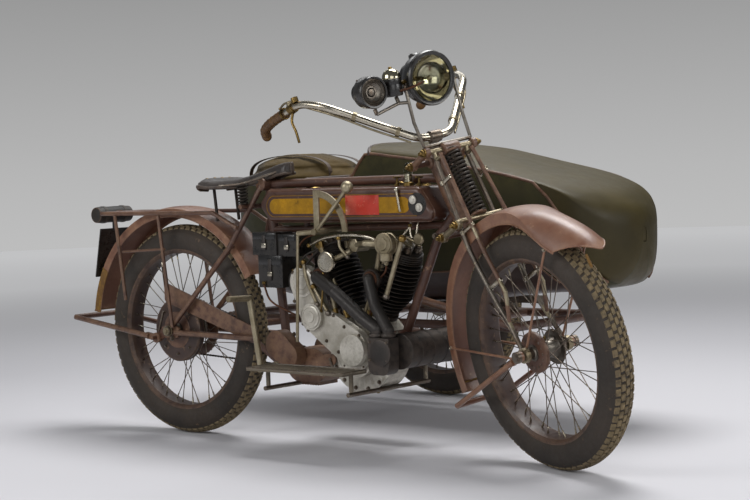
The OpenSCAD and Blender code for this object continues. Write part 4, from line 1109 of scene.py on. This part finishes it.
# ---- fork, bars and lamps ----
fork = Piece("fork_blades", "steering", CREAM, HEAD)
LEGS = (([(84, 56, 985), (70, 68, 700), (74, 68, 646), (92, 68, 502), (108, 68, 440), (123.7, 76, 335.4)], 7.2),
        ([(116, 56, 985), (134, 68, 718), (136, 68, 648), (152, 68, 522), (108, 68, 440)], 6.2))
for s in (-1, 1):
    for pts, r in LEGS:
        fork.add(pipe(soften([(x, s * y, z) for x, y, z in pts], 46), r, 14), None, STEEL if r > 7 else BROWN)
    for z, x0, x1 in ((905, 80, 121), (745, 73, 131), (560, 83, 146)):
        fork.add(block(abs(x1 - x0) + 18, 10, 13, 3), move((x0 + x1) / 2, s * 66, z), NICKEL)
        fork.add(rod(18, 15, 2, 20), move(x0, s * 66, z - 8), NICKEL)
fork.done(slot="nickel")
links = Piece("fork_links", "steering", BROWN, HEAD)
for z, m in ((1004, BROWN), (768, CREAM)):
    for s in (-1, 1):
        links.add(pipe([(0, s * 84, z), (92, s * 84, z)], [10, 10], 16), mat=m)
        for x in (0, 92):
            links.add(rod(30, 18, 3, 28, -9), move(x, s * 84, z) @ TO_Y, m)
            links.add(nut(21, 12), move(x, s * 93, z) @ facing(s), BRASS)
            links.add(spin([(0, 0), (6, 0), (7, 3), (5, 9), (0, 10)], 16), move(x, s * 103, z) @ facing(s), BRASS)
links.add(rod(34, 60, 4, 32, -30), move(0, 0, 1004) @ TO_Y, BROWN)
links.add(rod(38, 60, 4, 32, -30), move(92, 0, 1004) @ TO_Y, BROWN)
links.done(slot="maroon_enamel")
sp = Piece("fork_coil", "steering", IRON, HEAD)
sp.add(coil(22.5, 4.2, 216, 17, 22), move(92, 0, 784))
sp.add(rod(54, 8, 2, 36), move(92, 0, 988), BROWN)
sp.add(rod(50, 8, 2, 36), move(92, 0, 782), BROWN)
sp.add(rod(14, 214, 1, 16), move(92, 0, 783), STEEL)
sp.done("fork_spring", slot="steel")

stem = Piece("head_details", "steering", BRASS, HEAD)
stem.add(spin([(0, 0), (25, 0), (27, 4), (27, 12), (22, 16), (22, 22), (17, 26), (0, 28)], 40), move(0, 0, 1024))
stem.add(nut(30, 16), move(0, 0, 732), STEEL)
stem.done(slot="brass")

bars = Piece("handlebar_tube", "steering", NICKEL, HEAD)
BAR = [(44, 0, 1066), (44, 60, 1072), (-54, 262, 1273), (-125, 290, 1324), (-199, 300, 1334)]
for s in (-1, 1):
    pts = soften([(x, s * y, z) for x, y, z in BAR] + [(-230, s * 302, 1338)], 50, 8)
    bars.add(pipe(pts, 12, 20))
    a, b = Vector((44, s * 60, 1072)), Vector((-54, s * 262, 1273))
    for t in (0.2, 0.66):
        q = a.lerp(b, t)
        d = (b - a).normalized()
        bars.add(pipe([q - d * 6, q + d * 6], 15, 20), mat=CREAM)
    side_ = Vector((0, 0, -24))
    bars.add(curved([a.lerp(b, 0.1) + side_, a.lerp(b, 0.5) + side_ * 1.1, a.lerp(b, 0.86) + side_ * 0.9,
            Vector((-104, s * 286, 1300))], 3.4, 10), mat=CREAM)
bars.add(rod(36, 44, 4, 28, -22), move(44, 0, 1068) @ TO_Y, STEEL)
bars.add(pipe([(0, 0, 1030), (40, 0, 1062)], 15, 20), mat=STEEL)
bars.done("handlebar", slot="nickel")
gr = Piece("bar_grips", "steering", GRIP, HEAD)
for s in (-1, 1):
    pts = through([(-203, s * 300.4, 1334.5), (-255, s * 304, 1344), (-310, s * 306, 1351), (-350, s * 303, 1351),
            (-373, s * 293, 1340)], 8)
    gr.add(pipe(pts, [15.6 + 0.8 * math.sin(i * 1.9) for i in range(len(pts))], 24))
    gr.add(ball(31), move(*pts[-1]), GRIP)
    gr.add(pipe([pts[0], Vector(pts[0]) + (Vector(pts[1]) - Vector(pts[0])).normalized() * 7], 18.5, 24), mat=BRASS)
gr.done("grips", slot="grip_rubber")
lev = Piece("bar_levers", "steering", BRASS, HEAD)
way = Vector((-74, 10, 10)).normalized()
for s in (-1, 1):
    w_ = Vector((way.x, s * way.y, way.z))
    at = Vector((-162, s * 295, 1329))
    lev.add(pipe([at - w_ * 11, at + w_ * 11], 16.5, 24))
    lev.add(pipe([at + Vector((0, 0, 10)), at + Vector((2, 0, 22))], 14, 24), mat=CREAM)
    lev.add(pipe([at + Vector((30, 0, 4)), at + Vector((32, 0, 20))], 11, 20), mat=BRASS)
    lev.add(curved([at + Vector((4, 0, 22)), at + Vector((-26, s * 6, 30)), at + Vector((-62, s * 4, 32))], 3.4, 10),
            mat=CREAM)
    lev.add(ball(9), move(*(at + Vector((-62, s * 4, 32)))), BRASS)
    lev.add(curved([at + Vector((-4, s * 2, -13)), at + Vector((-16, s * 10, -36)), at + Vector((-13, s * 12, -70)),
            at + Vector((-20, s * 12, -106))], 4.2, 12), mat=BRASS)
lev.done("control_levers", slot="brass")


def level_on_head(x, y, z):
    return HEAD @ move(x, y, z) @ Matrix.Rotation(RAKE, 4, 'Y')


LAMP = level_on_head(143, 0, 1213)
lamp = Piece("headlamp_shell", "steering", BLACK, LAMP)
lamp.add(spin([(0, -100), (30, -99), (48, -94), (54, -88), (55, -62), (60, -58), (72, -44), (78, -20), (79.5, 0),
        (80, 10)], 64), TO_X)
lamp.add(spin([(68, 2), (79, -4), (82, 0), (81, 4), (82, 8), (79, 13), (73, 12), (68, 9)], 64, True), TO_X)
lamp.add(spin([(70, 5), (60, -14), (44, -30), (24, -40), (0, -43)], 64), TO_X, REFLECTOR)
lamp.add(spin([(0, -36), (4, -36), (4, -18), (8, -12), (8, -4), (5, 0), (0, 1)], 24), TO_X, CREAM)
lamp.add(rod(46, 12, 3, 32, -108), TO_X, BRASS)
for s in (-1, 1):
    lamp.add(nut(15, 9), move(-20, s * 77, 0) @ facing(s), BRASS)
lamp.add(spin([(0, 0), (16, 0), (18, 3), (18, 18), (14, 22), (0, 24)], 24), move(-66, 0, 54), BLACK)
lamp.done("headlamp", slot="nickel")
gl = Piece("headlamp_glass", "steering", GLASS, LAMP)
gl.add(spin([(71, 5), (71, 7), (40, 9.5), (0, 10.5), (0, 8.5), (40, 7.5)], 64), TO_X)
gl.done(slot="nickel")
HORN = level_on_head(112, -196, 1217)
ho = Piece("horn_body", "steering", BLACK, HORN)
ho.add(spin([(0, -64), (24, -63), (29, -58), (30, -26), (44, -24), (47, -20), (47, 12), (45, 18), (40, 20)], 56), TO_X)
ho.add(spin([(41, 18), (38, 19), (36, 14), (33, 10), (31, 12), (28, 8), (20, 4), (18, 7), (14, 7), (11, 3), (10, 8),
        (0, 10)], 56), TO_X, STEEL)
for x in (-50, -42, -34):
    ho.add(spin([(29, x), (31.4, x + 1), (31.4, x + 3), (29, x + 4)], 40), TO_X, BLACK)
ho.add(spin([(45, 12), (48, 12), (48.5, 18), (46, 23), (41, 22), (40, 16)], 56, True), TO_X, BLACK)
ho.add(rod(26, 14, 2, 24), move(-44, 0, 26), COPPER)
ho.done("horn", slot="black_enamel")
GEN = level_on_head(116, -115, 1226)
ge = Piece("gas_generator", "steering", BLACK, GEN)
ge.add(spin([(0, -34), (26, -34), (28, -31), (28, -4), (27, 0), (27, 4), (28, 7), (28, 18), (27, 20)], 48))
ge.add(spin([(28.5, 18), (29, 21), (28, 24), (26, 32), (20, 41), (11, 46), (5, 47.5), (0, 48)], 48), mat=REFLECTOR)
ge.add(spin([(0, 46), (5, 46), (6, 49), (5, 53), (0, 54)], 24), mat=BRASS)
ge.add(curved([(26, 6, -20), (44, 30, -16), (52, 62, -8), (40, 84, -6)], 4, 10), mat=COPPER)
ge.done("generator", slot="black_enamel")

# ---- the CAD nodes that stay ----
NODE_MATERIALS = (("crankcase", DIRTY_ALU), ("timing_cover", ALU), ("gearbox", BROWN), ("clutch_cover", BROWN),
        ("primary_case", BROWN), ("frame", BROWN), ("chain_guard", BROWN), ("footboards", BOARD), ("board_bars", STEEL),
        ("kick_lever", CREAM), ("tool_boxes", BLACK), ("luggage_rack", BROWN), ("number_plate", BLACK),
        ("rear_axle", STEEL), ("sidecar_chassis", BROWN), ("sidecar_springs", STEEL), ("fork_stem", BROWN),
        ("fork_girder", CREAM), ("lamp_bracket", STEEL), ("front_axle", STEEL), ("rear_stand", BROWN),
        ("front_stand", GUARD), ("silencer", SOOT), ("magneto", BLACK), ("exhaust_pipes", SOOT), ("gear_lever", CREAM),
        ("carburettor", CREAM), ("control_levers", BRASS))
for node, mat in NODE_MATERIALS:
    paint(node, mat)


# ---- extra details on the CAD nodes ----
bolts = Piece("frame_details", "machine", STEEL)
for x, z, y in ((400, 838, 21), (462, 256, 55), (-10, 352, 91), (14, 330, 91), (1094, 672, 20), (1166, 748, 20)):
    for s in (-1, 1):
        bolts.add(nut(15, 8), move(x, s * y, z) @ facing(s))
for s in (-1, 1):
    for x, z in ((540, 360), (600, 400), (700, 420), (620, 250), (690, 250), (930, 420), (968, 380)):
        bolts.add(nut(12, 6), move(x, s * 57.5, z) @ facing(s))
    bolts.add(nut(30, 14), move(0, s * 96, R) @ facing(s), CREAM)
bolts.done(slot="steel")

boxes = Piece("box_details", "machine", LEATHER)
for x0, z0, w, h in ((404, 614, 104, 72), (508.3, 610, 80, 70), (424, 510, 104, 103.7)):
    y = {404: -92, 508.3: -86, 424: -89}[x0]
    boxes.add(block(w - 8, 3, h * 0.28, 1.2), move(x0 + w / 2, y - 1, z0 + h * 0.84), BLACK)
    boxes.add(block(14, 4, h * 0.66, 1.5), move(x0 + w * 0.5, y - 2.4, z0 + h * 0.55))
    boxes.add(block(19, 5, 15, 2), move(x0 + w * 0.5, y - 3.4, z0 + h * 0.42), NICKEL)
boxes.done(slot="black_enamel")

chain = Piece("drive_chain", "machine", IRON)
half_n, run_x = 42, 552    # links in each run, and the gearbox sprocket's x
for i in range(2 * half_n):
    k = i % half_n / half_n
    if i < half_n:
        x, z, a = run_x * k, (R + 92) * (1 - k) + 290 * k, math.atan2(290 - 447, run_x)
    else:
        x, z, a = run_x * (1 - k), (R - 92) * k + 236 * (1 - k), math.atan2(263 - 236, -run_x)
    chain.add(block(11, 8, 6, 2), move(x, 44.5, z) @ Matrix.Rotation(-a, 4, 'Y'))
chain.done(slot="steel")

boards = Piece("board_ribs", "machine", BOARD)
for s in (-1, 1):
    for i in range(17):
        boards.add(block(12, 84, 2.4, 1), move(516 + 23 * i, s * 185, 272.6))
    boards.add(pipe([(502, s * 131, 272), (898, s * 131, 272), (898, s * 239, 272), (502, s * 239, 272)], 2.6, 8,
            closed=True), mat=STEEL)
boards.done(slot="steel")

roll = Piece("rack_roll", "machine", LEATHER)
roll.add(spin([(0, -77), (20, -77), (27, -74), (28.6, -60), (28, -20), (28.6, 18), (28, 56), (27, 74), (20, 77),
        (0, 77)], 36), move(-366, 0, 745) @ TO_Y, FIBRE)
for y in (-44, 44):
    roll.add(spin([(28, -7), (30, -6), (30, 6), (28, 7)], 36), move(-366, y, 745) @ TO_Y, FIBRE)
    roll.add(block(3, 12, 14, 1), move(-396, y, 745), BRASS)
roll.done(slot="leather")
plate = Piece("plate_rim", "machine", STEEL)
tilt = move(-392, 0, 528) @ Matrix.Rotation(rad(11.8), 4, 'Y')
plate.add(pipe([(-3, -63, 2), (-3, 63, 2), (-3, 63, 170), (-3, -63, 170)], 1.6, 8, closed=True), tilt)
plate.done(slot="steel")
st = Piece("stand_springs", "machine", STEEL)
for s in (-1, 1):
    st.add(pipe([(-54, s * 90, 352), (-30, s * 88, 420)], 4.5, 12))
st.done(slot="steel")

# ---- setting ----
world = bpy.data.worlds.new("studio")
bpy.context.scene.world = world
world.use_nodes = True
world.node_tree.nodes["Background"].inputs[0].default_value = rgb("#c9ccd0")
world.node_tree.nodes["Background"].inputs[1].default_value = 0.24


def paper(name, base, by_radius, stops, far):
    """Backdrop paper that glows by its distance from the middle, or by its height, where the lamps don't reach."""
    m = bpy.data.materials.new(name)
    m.use_nodes = True
    nt = m.node_tree
    b = nt.nodes["Principled BSDF"]
    b.inputs["Roughness"].default_value = 0.8
    b.inputs["Base Color"].default_value = base
    b.inputs["Specular IOR Level"].default_value = 0.2
    co = shader(nt, "TexCoord")
    sep = shader(nt, "SeparateXYZ")
    nt.links.new(co.outputs["Object"], sep.inputs[0])
    mp = shader(nt, "MapRange")
    mp.inputs[1].default_value, mp.inputs[2].default_value = 0.0, far
    if by_radius:
        flat = shader(nt, "VectorMath")
        flat.operation = "LENGTH"
        nt.links.new(co.outputs["Object"], flat.inputs[0])
        nt.links.new(flat.outputs["Value"], mp.inputs[0])
    else:
        nt.links.new(sep.outputs[2], mp.inputs[0])
    nt.links.new(ramp(nt, mp.outputs[0], stops), b.inputs["Emission Color"])
    b.inputs["Emission Strength"].default_value = 1.0
    return m


def backdrop(name, profile, mat):
    v, f = spin(profile, 128)
    me = bpy.data.meshes.new(name)
    me.from_pydata(v, [], f)
    me.polygons.foreach_set("use_smooth", [True] * len(me.polygons))
    me.materials.append(mat)
    o = put(name, me)
    return o


flat_back = Vector((back.x, back.y, 0)).normalized()
flat_right = Vector((right.x, right.y, 0)).normalized()
backdrop("floor", [(0, 0), (2, 0), (4, 0), (6, 0), (9, 0), (12, 0), (15, 0)],
        paper("floor_paper", rgb("#cfced2"), True, [(0.0, K), (0.18, grey(0.02)), (0.33, grey(0.13)),
        (0.55, grey(0.34)), (0.9, grey(0.44)), (1.0, grey(0.44))], 15))
wall = backdrop("wall", [(15, 0), (16, 0.05), (17, 0.2), (18, 0.5), (19, 1.1), (19.6, 2.0), (20, 3.5), (20, 14)],
        paper("wall_paper", K, False, [(0.0, grey(0.50)), (0.05, grey(0.47)), (0.17, grey(0.37)), (0.30, grey(0.265)),
        (1.0, grey(0.20))], 14))
wall.visible_diffuse = wall.visible_glossy = wall.visible_shadow = False


def area(name, at, aim, size, watts, size_y=None):
    d = bpy.data.lights.new(name, "AREA")
    d.energy = watts
    d.size = size
    if size_y:
        d.shape = "RECTANGLE"
        d.size_y = size_y
    o = put(name, d)
    o.location = at
    o.rotation_euler = (Vector(aim) - Vector(at)).to_track_quat('-Z', 'Y').to_euler()


def spot(a, w, z):
    return flat_back * a + flat_right * w + Vector((0, 0, z))


area("top", spot(-0.55, 0.5, 4.1), (0, 0, 0.4), 2.3, 150, size_y=1.7)
area("left", spot(2.4, -3.6, 2.4), (0, 0, 0.6), 2.4, 62, size_y=1.6)
area("right", spot(2.6, 3.4, 2.2), (0.2, 0, 0.6), 2.0, 52, size_y=1.6)
area("front", spot(4.6, 0.2, 1.9), (0, 0, 0.6), 2.6, 36)
area("back", spot(-3.2, 0.0, 3.2), (0, 0, 0.7), 4.0, 22, size_y=0.8)

bpy.context.scene.view_settings.view_transform = "Standard"
bpy.context.scene.view_settings.look = "None"
